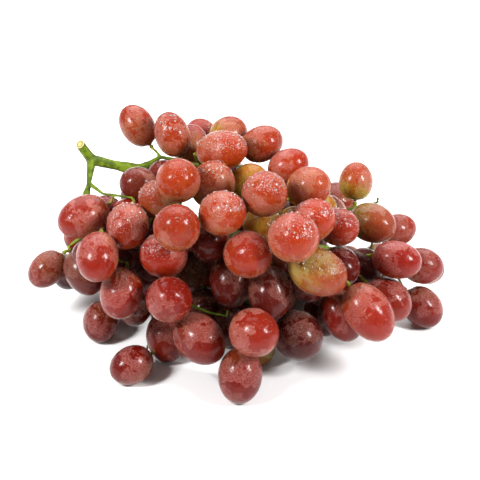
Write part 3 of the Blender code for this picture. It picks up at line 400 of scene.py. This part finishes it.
def berry_surface(berry, grid, dice):
    """A berry's points in space, with its places for the skin's patterns."""
    unit = grid.copy()
    lumps = np.zeros(len(grid))
    for _ in range(LUMP_WAVES):
        way = np.array([dice.gauss(0.0, 1.0) for _ in range(3)])
        lumps += LUMP / 2 * np.sin(grid @ way * LUMP_CLOSENESS + dice.uniform(0.0, math.tau))
    unit[:, :2] *= (1.0 - (EGG + dice.uniform(-EGG_CHANCE, EGG_CHANCE)) * unit[:, 2])[:, None]
    local = unit * (berry.half_width, berry.half_width, berry.half_length)
    local += grid * (lumps - LUMP)[:, None]
    off_axis = lengths(local[:, :2])
    stalk_end = grid[:, 2] < 0.0
    dimple = DIMPLE * np.exp(-(off_axis / DIMPLE_REACH) ** 2)
    button = BUTTON * np.exp(-(off_axis / BUTTON_REACH) ** 2)
    scar = SCAR * np.exp(-(off_axis / SCAR_REACH) ** 2)
    local[:, 2] += np.where(stalk_end, dimple - button, -scar)
    first, second = sideways(berry.axis)
    points = berry.centre + local @ np.array((first, second, berry.axis))
    for middle, way in berry.presses:
        depth = (points - middle) @ way + PRESS_GAP
        points -= (depth + soft_floor(-depth, PRESS_SOFTNESS))[:, None] * way
    points[:, 2] = soft_floor(points[:, 2], TABLE_SOFTNESS)
    return points, local


def colour_surface(berry, grid, local, dice):
    """Flesh colour of every point: the stalk end's colour runs into the body's, with a painted glow on
    the lower sides of red and rose berries (all over the uppermost ones), and the berry's tone and
    painted shade over all.
    """
    body, end = (np.array(colour) for colour in FLESH[berry.tint])
    tilt = np.array([dice.gauss(0.0, END_TILT) for _ in range(3)])
    along = -grid[:, 2] + grid @ tilt + END_WAVE * np.sin(local @ tilt * END_WAVES)
    start, softness = END_COLOUR[berry.tint in PALE]
    share = 1.0 / (1.0 + np.exp(-(along - start) / softness))
    colour = body + (end - body) * share[:, None]
    # Painted glow: warmer lower sides, and the uppermost berries warmer all over.
    if berry.tint in PAINTED_GLOW_TINTS:
        height = berry_height(berry)
        down = np.clip(-berry_normals(berry)[:, 2], 0.0, 1.0)
        share = changed(PAINTED_GLOW_BELOW, height) * down + PAINTED_GLOW_ON_TOP * max(height, 0.0)
        colour += (np.array(PAINTED_GLOW) - colour) * np.clip(share, 0.0, 1.0)[:, None]
    return berry.light * colour


def put_attribute(mesh, name, kind, values):
    layer = mesh.attributes.new(name, kind, "POINT")
    field = {"FLOAT_COLOR": "color", "FLOAT_VECTOR": "vector", "FLOAT": "value"}[kind]
    layer.data.foreach_set(field, np.ascontiguousarray(values, dtype=np.float32).ravel())


def new_piece(name, points, faces, material):
    mesh = bpy.data.meshes.new(name)
    mesh.from_pydata((points * MM).tolist(), [], faces)
    mesh.materials.append(material)
    mesh.shade_smooth()
    mesh.update()
    piece = bpy.data.objects.new(name, mesh)
    bpy.context.scene.collection.objects.link(piece)
    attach(piece, "root")
    return piece


def berry_normals(berry):
    """The way out at each point of a berry's surface."""
    offset = berry.surface - berry.centre
    along = (offset @ berry.axis)[:, None] * berry.axis
    way = along / berry.half_length ** 2 + (offset - along) / berry.half_width ** 2
    return way / lengths(way)[:, None]


def make_berries(berries, skins, dice):
    """One piece for every node, with all of its berries."""
    grid, faces = berry_grid()
    for node in sorted({berry.node for berry in berries}):
        members = [berry for berry in berries if berry.node == node]
        points, rounds, places, flesh_and_painted_light, dust, tip, wet = [], [], [], [], [], [], []
        for berry in members:
            surface, local = berry_surface(berry, grid, dice)
            berry.surface = surface
            start = len(grid) * len(points)
            rounds.extend(tuple(start + corner for corner in face) for face in faces)
            points.append(surface)
            shift = [dice.uniform(0.0, FAR_APART) for _ in range(3)]
            places.append(local + shift)
            colour = colour_surface(berry, grid, local, dice)
            flesh_and_painted_light.append(np.hstack((colour, np.ones((len(grid), 1)))))
            facing = berry_normals(berry) @ UPPER_WAY
            flank, more = DUST_RANGE[berry.tint in PALE]
            dust.append(berry.dust * np.clip(flank + more * facing, 0.0, 1.0))
            wet.append(berry.wet * np.clip(WET_FLANK + facing, 0.0, 1.0))
            rub_way = np.array((dice.gauss(0, RUB_TILT), dice.gauss(0, RUB_TILT), 1.0))
            tip.append(grid @ rub_way / lengths(rub_way))
        piece = new_piece("look_" + node, np.vstack(points), rounds, skins[SLOTS[node]])
        put_attribute(piece.data, "skin_at", "FLOAT_VECTOR", np.vstack(places))
        put_attribute(piece.data, "flesh_and_painted_light", "FLOAT_COLOR", np.vstack(flesh_and_painted_light))
        put_attribute(piece.data, "dust", "FLOAT", np.concatenate(dust))
        put_attribute(piece.data, "tip", "FLOAT", np.concatenate(tip))
        put_attribute(piece.data, "wet", "FLOAT", np.concatenate(wet))
        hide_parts(node)


# ------------------------------------------------------------------ materials

class Nodes:
    """A material and short ways to add and join its nodes."""

    def __init__(self, name):
        self.material = bpy.data.materials.new(name)
        self.material.use_nodes = True
        self.tree = self.material.node_tree
        self.shader = self.tree.nodes["Principled BSDF"]

    def put(self, socket, value):
        """Join a socket to another, or set its own value."""
        if isinstance(value, bpy.types.NodeSocket):
            self.tree.links.new(value, socket)
        else:
            socket.default_value = value

    def add(self, kind, inputs, output=0, **settings):
        """A new node with its inputs and settings, as one of its outputs."""
        node = self.tree.nodes.new("ShaderNode" + kind)
        for name, value in settings.items():
            setattr(node, name, value)
        for key, value in inputs.items():
            self.put(node.inputs[key], value)
        return node.outputs[output]

    def attribute(self, name, output):
        return self.add("Attribute", {}, output, attribute_name=name)

    def noise(self, at, scale, detail=2.0, rough=0.5, distort=0.0):
        return self.add("TexNoise", {"Vector": at, "Scale": scale, "Detail": detail,
                                     "Roughness": rough, "Distortion": distort})

    def specks(self, at, scale):
        return self.add("TexVoronoi", {"Vector": at, "Scale": scale})

    def math(self, operation, first, second=0.0):
        return self.add("Math", {0: first, 1: second}, operation=operation)

    def steps(self, value, low, high, to_low=0.0, to_high=1.0):
        """A soft step from one value to another as the input goes from low to high."""
        return self.add("MapRange", {0: value, 1: low, 2: high, 3: to_low, 4: to_high},
                        interpolation_type="SMOOTHSTEP")

    def mix(self, share, first, second, blend="MIX"):
        return self.add("Mix", {0: share, 6: first, 7: second}, 2, data_type="RGBA",
                        blend_type=blend)

    def set(self, **inputs):
        for name, value in inputs.items():
            self.put(self.shader.inputs[name.replace("_", " ")], value)

    def bump(self, height, strength, socket="Normal"):
        normal = self.add("Bump", {"Height": height, "Strength": strength, "Distance": BUMP_M})
        self.put(self.shader.inputs[socket], normal)


BUMP_M = 0.0003             # height of the fine relief on skin and bark

# Linear colours on top of the flesh, and what the flesh is multiplied by in its patches.
DUST = (0.40, 0.138, 0.120, 1.0)
DEEP_DUST = (0.32, 0.125, 0.098, 1.0)
SPECK = (0.10, 0.020, 0.010, 1.0)
# The pale colour of mist beads: their own pale look together with a painted glint.
MIST_AND_PAINTED_GLINT = (0.80, 0.48, 0.44, 1.0)
WARMER = (1.0, 1.45, 1.1, 1.0)
VEINED = (0.55, 0.40, 0.40, 1.0)
BARE = (1.0, 0.50, 0.40, 1.0)

# Patterns of the skin: features to the millimetre, and how fine, how rough and how bent they are.
BLOTCHES = {"scale": 0.12, "detail": 6.0, "rough": 0.62, "distort": 0.3}
CLOUDS = {"scale": 0.25, "detail": 2.0}
GRAIN = {"scale": 1.3, "detail": 3.0, "rough": 0.8}
WARMTH = {"scale": 0.2, "detail": 3.0, "rough": 0.6, "distort": 0.5}
VEINS = {"scale": 0.55, "detail": 4.0, "rough": 0.7, "distort": 1.0}
WAVES = {"scale": 0.45, "detail": 2.0}
FILM = {"scale": 0.9, "detail": 2.0}
SPECKS_SCALE = 0.5
BEADS_SCALE = 0.8

TIP_IS_BARER = 0.20
BARE_EDGE = (0.530, 0.555)  # the bloom ends this sharply round its rubbed patches
BARE_SHARE = 0.85
VEIN_SHARE = 0.45
SPECK_SHARE = 0.35
MIST_AND_GLINT_SHARE = 0.16
DUSTY_ROUGHNESS = 0.40
BEAD_ROUGHNESS = 0.12


def skin_bloom(skin, at):
    """How much bloom lies on each point, how bare of it the skin is, and the bloom's grain."""
    near_tip = skin.steps(skin.attribute("tip", "Fac"), 0.3, 1.0)
    blotches = skin.math("MULTIPLY", near_tip, TIP_IS_BARER)
    blotches = skin.math("ADD", skin.noise(at, **BLOTCHES), blotches)
    bare = skin.steps(blotches, *BARE_EDGE)
    grain = skin.steps(skin.noise(at, **GRAIN), 0.42, 0.58, 0.25, 1.0)
    clouds = skin.steps(skin.noise(at, **CLOUDS), 0.3, 0.7, 0.7, 1.0)
    cover = skin.math("MULTIPLY", skin.math("SUBTRACT", 1.0, bare), skin.attribute("dust", "Fac"))
    cover = skin.math("MULTIPLY", skin.math("MULTIPLY", cover, clouds), grain)
    return cover, bare, grain


def skin_flesh(skin, at, bare):
    """The flesh's colour, which comes with its painted shade and glow: warmer in clouds, darker along
    veins, deeper where no bloom dulls it.
    """
    flesh_and_painted_light = skin.attribute("flesh_and_painted_light", "Color")
    warm = skin.steps(skin.noise(at, **WARMTH), 0.40, 0.65)
    colour = skin.mix(warm, flesh_and_painted_light, skin.mix(1.0, flesh_and_painted_light, WARMER, "MULTIPLY"))
    veins = skin.steps(skin.noise(at, **VEINS), 0.42, 0.66, 0.0, VEIN_SHARE)
    colour = skin.mix(veins, colour, skin.mix(1.0, colour, VEINED, "MULTIPLY"))
    bare = skin.math("MULTIPLY", bare, BARE_SHARE)
    return skin.mix(bare, colour, skin.mix(1.0, colour, BARE, "MULTIPLY"))


def skin_mist(skin, at, wet):
    """Beads of mist, only on the wetter skin and there in patches."""
    beads = skin.steps(skin.specks(at, BEADS_SCALE), 0.44, 0.12)
    patches = skin.steps(skin.math("ADD", skin.noise(at, 0.5), wet), 0.70, 0.85)
    return skin.math("MULTIPLY", beads, patches)


def skin_material(name, dust, dust_share, gloss):
    """Grape skin: see-through flesh under dusty bloom with rubbed, glossy patches, fine specks, and pale
    beads of mist that are partly a painted glint.

    The bloom's relief is on the base, and a thin wet film's on the coat, which keeps highlights crisp.
    """
    skin = Nodes(name)
    at = skin.attribute("skin_at", "Vector")
    wet = skin.attribute("wet", "Fac")
    cover, bare, grain = skin_bloom(skin, at)
    beads = skin_mist(skin, at, wet)

    colour = skin_flesh(skin, at, bare)
    colour = skin.mix(skin.math("MULTIPLY", cover, dust_share), colour, dust)
    specks = skin.steps(skin.specks(at, SPECKS_SCALE), 0.09, 0.05)
    colour = skin.mix(skin.math("MULTIPLY", specks, SPECK_SHARE), colour, SPECK)
    # Pale mist beads: partly their own pale look, partly a painted glint.
    colour = skin.mix(skin.math("MULTIPLY", beads, MIST_AND_GLINT_SHARE), colour, MIST_AND_PAINTED_GLINT)
    rough = skin.steps(cover, 0.0, 0.8, gloss, DUSTY_ROUGHNESS)
    rough = skin.steps(beads, 0.1, 0.5, rough, BEAD_ROUGHNESS)
    skin.set(Base_Color=colour, Roughness=rough, IOR=1.42, Specular_IOR_Level=0.12,
             Subsurface_Weight=0.20, Subsurface_Scale=0.0028, Subsurface_Radius=(1.0, 0.28, 0.14),
             Sheen_Weight=0.16, Sheen_Roughness=0.15, Sheen_Tint=(1.0, 0.66, 0.62, 1.0),
             Coat_Weight=0.62, Coat_Roughness=0.18, Coat_IOR=1.30)

    relief = skin.math("ADD", skin.math("MULTIPLY", grain, 0.55), skin.noise(at, **WAVES))
    relief = skin.math("ADD", relief, skin.math("MULTIPLY", beads, 1.6))
    skin.bump(relief, 0.9)
    film = skin.math("MULTIPLY", skin.noise(at, **FILM), skin.steps(wet, 0.30, 0.80))
    film = skin.math("ADD", skin.math("MULTIPLY", film, 1.6), skin.math("MULTIPLY", beads, 0.8))
    skin.bump(film, 0.6, "Coat Normal")
    return skin.material


# Linear colours of the stalk. Twigs get the lighter green of TWIG close to their berries.
BARK_LIGHT = (0.125, 0.180, 0.009, 1.0)
BARK_DEEP = (0.052, 0.085, 0.006, 1.0)
BARK_BROWN = (0.070, 0.045, 0.012, 1.0)
TWIG = (0.250, 0.260, 0.018, 1.0)
CUT_WOOD = (0.62, 0.52, 0.23, 1.0)
OLD_WOOD = (0.42, 0.33, 0.10, 1.0)
RING_WOOD = (0.20, 0.14, 0.030, 1.0)

BARK_PATCHES = {"scale": 0.25, "detail": 4.0, "rough": 0.6}
BARK_STAINS = {"scale": 0.6, "detail": 4.0, "rough": 0.7}
BARK_RELIEF = {"scale": 1.4, "detail": 4.0, "rough": 0.6}
WOOD_FIBRES = {"scale": 2.5, "detail": 3.0}
TWIG_STAINS = 0.12          # twigs are more stained than the rest by this much


def stalk_material():
    """Green stalk with brown stains, yellower close to its berries, pale and ringed where it was cut."""
    bark = Nodes("stalk_bark")
    at = bark.attribute("skin_at", "Vector")
    twig = bark.attribute("twig", "Fac")
    patches = bark.steps(bark.noise(at, **BARK_PATCHES), 0.40, 0.60)
    colour = bark.mix(patches, BARK_LIGHT, BARK_DEEP)
    colour = bark.mix(twig, colour, TWIG)
    stains = bark.math("MULTIPLY", twig, TWIG_STAINS)
    stains = bark.math("ADD", bark.noise(at, **BARK_STAINS), stains)
    colour = bark.mix(bark.steps(stains, 0.56, 0.70), colour, BARK_BROWN)
    wood = bark.mix(bark.steps(bark.noise(at, **WOOD_FIBRES), 0.3, 0.7), CUT_WOOD, OLD_WOOD)
    colour = bark.mix(bark.attribute("cut", "Fac"), colour, wood)
    colour = bark.mix(bark.attribute("ring", "Fac"), colour, RING_WOOD)
    bark.set(Base_Color=colour, Roughness=0.45, Specular_IOR_Level=0.16,
             Subsurface_Weight=0.10, Subsurface_Scale=0.001, Subsurface_Radius=(0.6, 1.0, 0.2))
    bark.bump(bark.noise(at, **BARK_RELIEF), 0.5)
    return bark.material


def water_material():
    """Water, mostly clear; its pale pink diffuse share is a painted glint, with the skin's pink painted
    into it, that shows each drop as a pale dot.
    """
    water = Nodes("water")
    water.set(Base_Color=(1.0, 0.86, 0.82, 1.0), Roughness=0.03, IOR=1.33, Transmission_Weight=0.78)
    return water.material


# ------------------------------------------------------------------ the stalk

STALK_VOXEL = 0.50
STALK_SMOOTHINGS = 5
STALK_SWELL = 0.10          # puts back what smoothing took off
KNOTS = 0.12                # height of the bark's unevenness
KNOT_CLOSENESS = 0.55
OFF_TABLE = 0.05            # the stalk stays this far over the table
OFF_THE_CUT = 10.8          # nothing further than this from the cut is changed
CUT_PLACE = (-81.5, 49.5, -11.0)        # the end of the solid, on the show side
CUT_WAY = (-0.45, 0.52, 0.72)           # the way the cut faces
CUT_GRAIN = (-3.5, 5.0, 3.0)            # the way the wood runs there
CUT_DEPTH = 1.6             # the slanting cut starts this far below the end of the solid
CUT_EDGE = 0.1              # width of the soft edge between bark and cut wood
CUT_RING = 1.5              # the darker ring between pith and bark
CUT_RING_WIDTH = 0.4
TWIG_REACH = 5.0            # the stalk has its twigs' colour this close to a berry
TWIG_SHARE = 0.9
FAR = 99.0                  # further than anything that distances are compared for

# Where the stalk is thicker (or thinner) than its solid: line of places, reach and change.
STALK_SHAPING = [
    ([(-76, 38, -15), (-76, 28.5, -9), (-77, 22, -7), (-77, 8, -5)], 4.0, -0.42),
    ([(-47.5, 38.5, -19), (-40, 42, -18), (-25, 38.5, -16), (-8, 37, -12)], 4.0, -0.45),
    ([(-74, 26, -5), (-71, 23.4, 0), (-63.5, 22.5, 4), (-54, 21.5, 10)], 3.0, -0.22),
    ([(-75, 40.5, -16), (-72, 40, -17)], 4.0, 0.35),
    ([(-56, 36, -20), (-51, 35, -20)], 5.0, 0.75),
]


def line_distance(points, run):
    """How far points are from a line through places on the show side."""
    corners = [shown(*place) for place in run]
    least = np.full(len(points), FAR)
    for start, end in zip(corners[:-1], corners[1:]):
        way = end - start
        share = np.clip((points - start) @ way / (way @ way), 0.0, 1.0)
        least = np.minimum(least, lengths(points - start - share[:, None] * way))
    return least


def cut_stalk(points):
    """The stalk's points with its end cut on the slant, and how much each is in the cut and its ring."""
    way = np.array(CUT_WAY) @ SHOW_FRAME
    grain = np.array(CUT_GRAIN) @ SHOW_FRAME
    grain = grain / lengths(grain)
    above = (points - shown(*CUT_PLACE) + grain * CUT_DEPTH) @ way
    near = lengths(points - shown(*CUT_PLACE)) < OFF_THE_CUT
    sliced = near & (above > 0.0)
    points = points - np.where(sliced, above / (grain @ way), 0.0)[:, None] * grain
    cut = near * np.clip(1.0 + (above + CUT_EDGE / 2) / CUT_EDGE, 0.0, 1.0)
    offset = points - shown(*CUT_PLACE)
    off_axis = lengths(offset - (offset @ grain)[:, None] * grain)
    ring = cut * np.exp(-((off_axis - CUT_RING) / CUT_RING_WIDTH) ** 2)
    return points, cut, ring


def fine_stalk():
    """The stalk's solid, remeshed evenly and smoothed: points in millimetres, ways out and faces."""
    shape = node_shape("stem")
    bmesh.ops.scale(shape, vec=(MM, MM, MM), verts=shape.verts[:])
    mesh = bpy.data.meshes.new("stalk_cage")
    shape.to_mesh(mesh)
    shape.free()
    cage = bpy.data.objects.new("stalk_cage", mesh)
    bpy.context.scene.collection.objects.link(cage)
    remesh = cage.modifiers.new("remesh", "REMESH")
    remesh.mode = "VOXEL"
    remesh.voxel_size = STALK_VOXEL * MM
    smooth = cage.modifiers.new("smooth", "SMOOTH")
    smooth.factor = 0.5
    smooth.iterations = STALK_SMOOTHINGS
    bpy.context.view_layer.update()
    graph = bpy.context.evaluated_depsgraph_get()
    fine = bpy.data.meshes.new_from_object(cage.evaluated_get(graph))
    bpy.data.objects.remove(cage)
    points = np.empty(len(fine.vertices) * 3)
    normals = np.empty(len(fine.vertices) * 3)
    fine.vertices.foreach_get("co", points)
    fine.vertices.foreach_get("normal", normals)
    faces = [tuple(face.vertices) for face in fine.polygons]
    bpy.data.meshes.remove(fine)
    return points.reshape(-1, 3) / MM, normals.reshape(-1, 3), faces


def twig_share(points, berries):
    """How much each point has the twigs' colour, by how close it is to a berry's stalk end."""
    away = np.full(len(points), FAR)
    for berry in berries:
        button = berry.centre - berry.axis * (berry.half_length + 1.0)
        away = np.minimum(away, lengths(points - button))
    return TWIG_SHARE * np.exp(-(away / TWIG_REACH) ** 2)


def make_stalk(berries, bark):
    points, normals, faces = fine_stalk()
    twig = twig_share(points, berries)
    knots = np.array([noise.noise(Vector(point * KNOT_CLOSENESS)) for point in points])
    swell = STALK_SWELL + KNOTS * knots
    for run, reach, change in STALK_SHAPING:
        swell += change * np.exp(-(line_distance(points, run) / reach) ** 2)
    points = points + normals * swell[:, None]
    points[:, 2] = np.maximum(points[:, 2], OFF_TABLE)
    points, cut, ring = cut_stalk(points)

    piece = new_piece("look_stem", points, faces, bark)
    put_attribute(piece.data, "skin_at", "FLOAT_VECTOR", points)
    put_attribute(piece.data, "twig", "FLOAT", twig)
    put_attribute(piece.data, "cut", "FLOAT", cut)
    put_attribute(piece.data, "ring", "FLOAT", ring)
    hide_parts("stem")


# ------------------------------------------------------------------ drops of water

DROP_SIZES = (0.22, 0.75)   # half width; most drops are small
DROP_STRETCH = (0.8, 1.25)
DROP_HEIGHT = 0.55          # height and depth in the skin, as shares of the half width
DROP_SINK = 0.1
DROP_ROOM = 0.1             # least gap between two drops
DROP_TRIES = 40             # places tried for each drop that is wanted
BERRY_ROOM = 1.0            # drops stay this far off a neighbouring berry
DROP_RINGS = 5
DROP_SEGMENTS = 10
DRIEST = 0.25               # drops lie where the skin faces the upper side at least this much
DRIEST_CHANCE = 0.25


def drop_grid():
    """Points and faces of a low round dome, closed underneath."""
    turns = np.arange(DROP_SEGMENTS) / DROP_SEGMENTS * math.tau
    ring = np.stack((np.cos(turns), np.sin(turns)), axis=1)
    points = [np.array(((0.0, 0.0, DROP_HEIGHT),))]
    for row in range(1, DROP_RINGS):
        angle = math.pi / 2 * row / (DROP_RINGS - 1)
        height = np.full((DROP_SEGMENTS, 1), DROP_HEIGHT * math.cos(angle))
        points.append(np.hstack((math.sin(angle) * ring, height)))
    points.append(np.array(((0.0, 0.0, -DROP_SINK),)))
    faces = []
    last = 1 + (DROP_RINGS - 2) * DROP_SEGMENTS
    for k in range(DROP_SEGMENTS):
        onward = (k + 1) % DROP_SEGMENTS
        faces.append((0, 1 + k, 1 + onward))
        for row in range(DROP_RINGS - 2):
            low = 1 + row * DROP_SEGMENTS
            high = low + DROP_SEGMENTS
            faces.append((low + k, high + k, high + onward, low + onward))
        faces.append((last + k, last + DROP_SEGMENTS, last + onward))
    return np.vstack(points), faces


def free_spot(spot, own, berries):
    """True if a drop here would not reach into a neighbouring berry."""
    for other in berries:
        if other is own:
            continue
        offset = spot - other.centre
        along = offset @ other.axis
        across = math.sqrt(max(offset @ offset - along * along, 0.0))
        long, wide = other.half_length + BERRY_ROOM, other.half_width + BERRY_ROOM
        if math.hypot(along / long, across / wide) < 1.0:
            return False
    return True


def make_drops(berries, water, dice):
    """All drops, as one piece that stands for no solid."""
    dome, faces = drop_grid()
    points = []
    rounds = []
    for place, wanted in WET:
        berry = nearest_berry(berries, place)
        normals = berry_normals(berry)
        facing = normals @ UPPER_WAY
        chosen = []
        for _ in range(DROP_TRIES * wanted):
            if len(chosen) == wanted:
                break
            index = dice.randrange(len(normals))
            size = DROP_SIZES[0] + (DROP_SIZES[1] - DROP_SIZES[0]) * dice.random() ** 3
            spot = berry.surface[index]
            driest = DRIEST + DRIEST_CHANCE * dice.random()
            if facing[index] < driest or not free_spot(spot, berry, berries):
                continue
            if any(lengths(spot - other) < size + taken + DROP_ROOM for other, taken in chosen):
                continue
            chosen.append((spot, size))
            first, second = sideways(normals[index])
            stretch = dice.uniform(*DROP_STRETCH)
            drop = dome * (size * stretch, size / stretch, size)
            start = len(dome) * len(points)
            points.append(spot + drop @ np.array((first, second, normals[index])))
            rounds.extend(tuple(start + corner for corner in face) for face in faces)
    piece = new_piece("dew", np.vstack(points), rounds, water)


# ------------------------------------------------------------------ floor, light and camera

FLOOR_HALF_M = 3.0
PAPER = (0.88, 0.88, 0.88, 1.0)
CAMERA_AWAY = 1600.0
CAMERA_LENS = 240.0         # focal length, for a sensor 36 mm wide
CAMERA_SENSOR = 36.0
CAMERA_SEES_M = 20.0
WORLD_LIGHT = 0.22

# Soft boxes: name, direction from the bunch (across, up, out), distance, width, height, watts.
SOFT_BOXES = [
    ("box_left", (-0.66, 0.30, 0.68), 750.0, 140, 190, 7.6),
    ("box_right", (0.72, 0.28, 0.62), 750.0, 110, 250, 8.0),
    ("box_top", (0.0, 0.95, -0.1), 900.0, 1100, 900, 15.0),
]


def make_floor():
    mesh = bpy.data.meshes.new("floor")
    reach = FLOOR_HALF_M
    corners = [(-reach, -reach, 0.0), (reach, -reach, 0.0), (reach, reach, 0.0), (-reach, reach, 0.0)]
    mesh.from_pydata(corners, [], [(0, 1, 2, 3)])
    floor = bpy.data.objects.new("floor", mesh)
    bpy.context.scene.collection.objects.link(floor)
    paper = Nodes("floor_paper")
    paper.set(Base_Color=PAPER, Roughness=0.9, Specular_IOR_Level=0.1)
    mesh.materials.append(paper.material)


def aim(thing, place):
    """Put a lamp or the camera at a place, looking at the middle of the bunch."""
    bpy.context.scene.collection.objects.link(thing)
    thing.location = Vector(place * MM)
    thing.rotation_euler = Vector(shown(0, 0, 0) - place).to_track_quat("-Z", "Y").to_euler()


def make_lights():
    for name, direction, away, width, height, power in SOFT_BOXES:
        lamp = bpy.data.lights.new(name, "AREA")
        lamp.shape = "RECTANGLE"
        lamp.size = width * MM
        lamp.size_y = height * MM
        lamp.energy = power
        way = np.array(direction) / lengths(np.array(direction)) @ SHOW_FRAME
        aim(bpy.data.objects.new(name, lamp), shown(0, 0, 0) + way * away)
    world = bpy.data.worlds.new("studio")
    world.use_nodes = True
    background = world.node_tree.nodes["Background"].inputs
    background["Color"].default_value = (1.0, 1.0, 1.0, 1.0)
    background["Strength"].default_value = WORLD_LIGHT
    bpy.context.scene.world = world
    bpy.context.scene.view_settings.view_transform = "Standard"


def make_camera():
    lens = bpy.data.cameras.new("camera")
    lens.lens = CAMERA_LENS
    lens.sensor_width = CAMERA_SENSOR
    lens.clip_end = CAMERA_SEES_M
    camera = bpy.data.objects.new("camera", lens)
    aim(camera, shown(0, 0, CAMERA_AWAY))
    bpy.context.scene.camera = camera


# ------------------------------------------------------------------ everything

# For every skin slot: the bloom's colour, how thick it lies, and the roughness of bare skin.
SKINS = {
    "skin_red": (DUST, 0.90, 0.20),
    "skin_rose": (DUST, 1.0, 0.24),
    "skin_amber": (DUST, 0.70, 0.22),
    "skin_dark": (DEEP_DUST, 0.85, 0.22),
    "skin_mixed": (DEEP_DUST, 0.85, 0.24),
}


def build():
    dice = random.Random(SEED)
    berries = find_berries()
    find_presses(berries)
    colour_berries(berries, dice)
    skins = {slot: skin_material("look_" + slot, *looks) for slot, looks in SKINS.items()}
    make_berries(berries, skins, dice)
    make_stalk(berries, stalk_material())
    make_drops(berries, water_material(), dice)
    make_floor()
    make_lights()
    make_camera()


build()
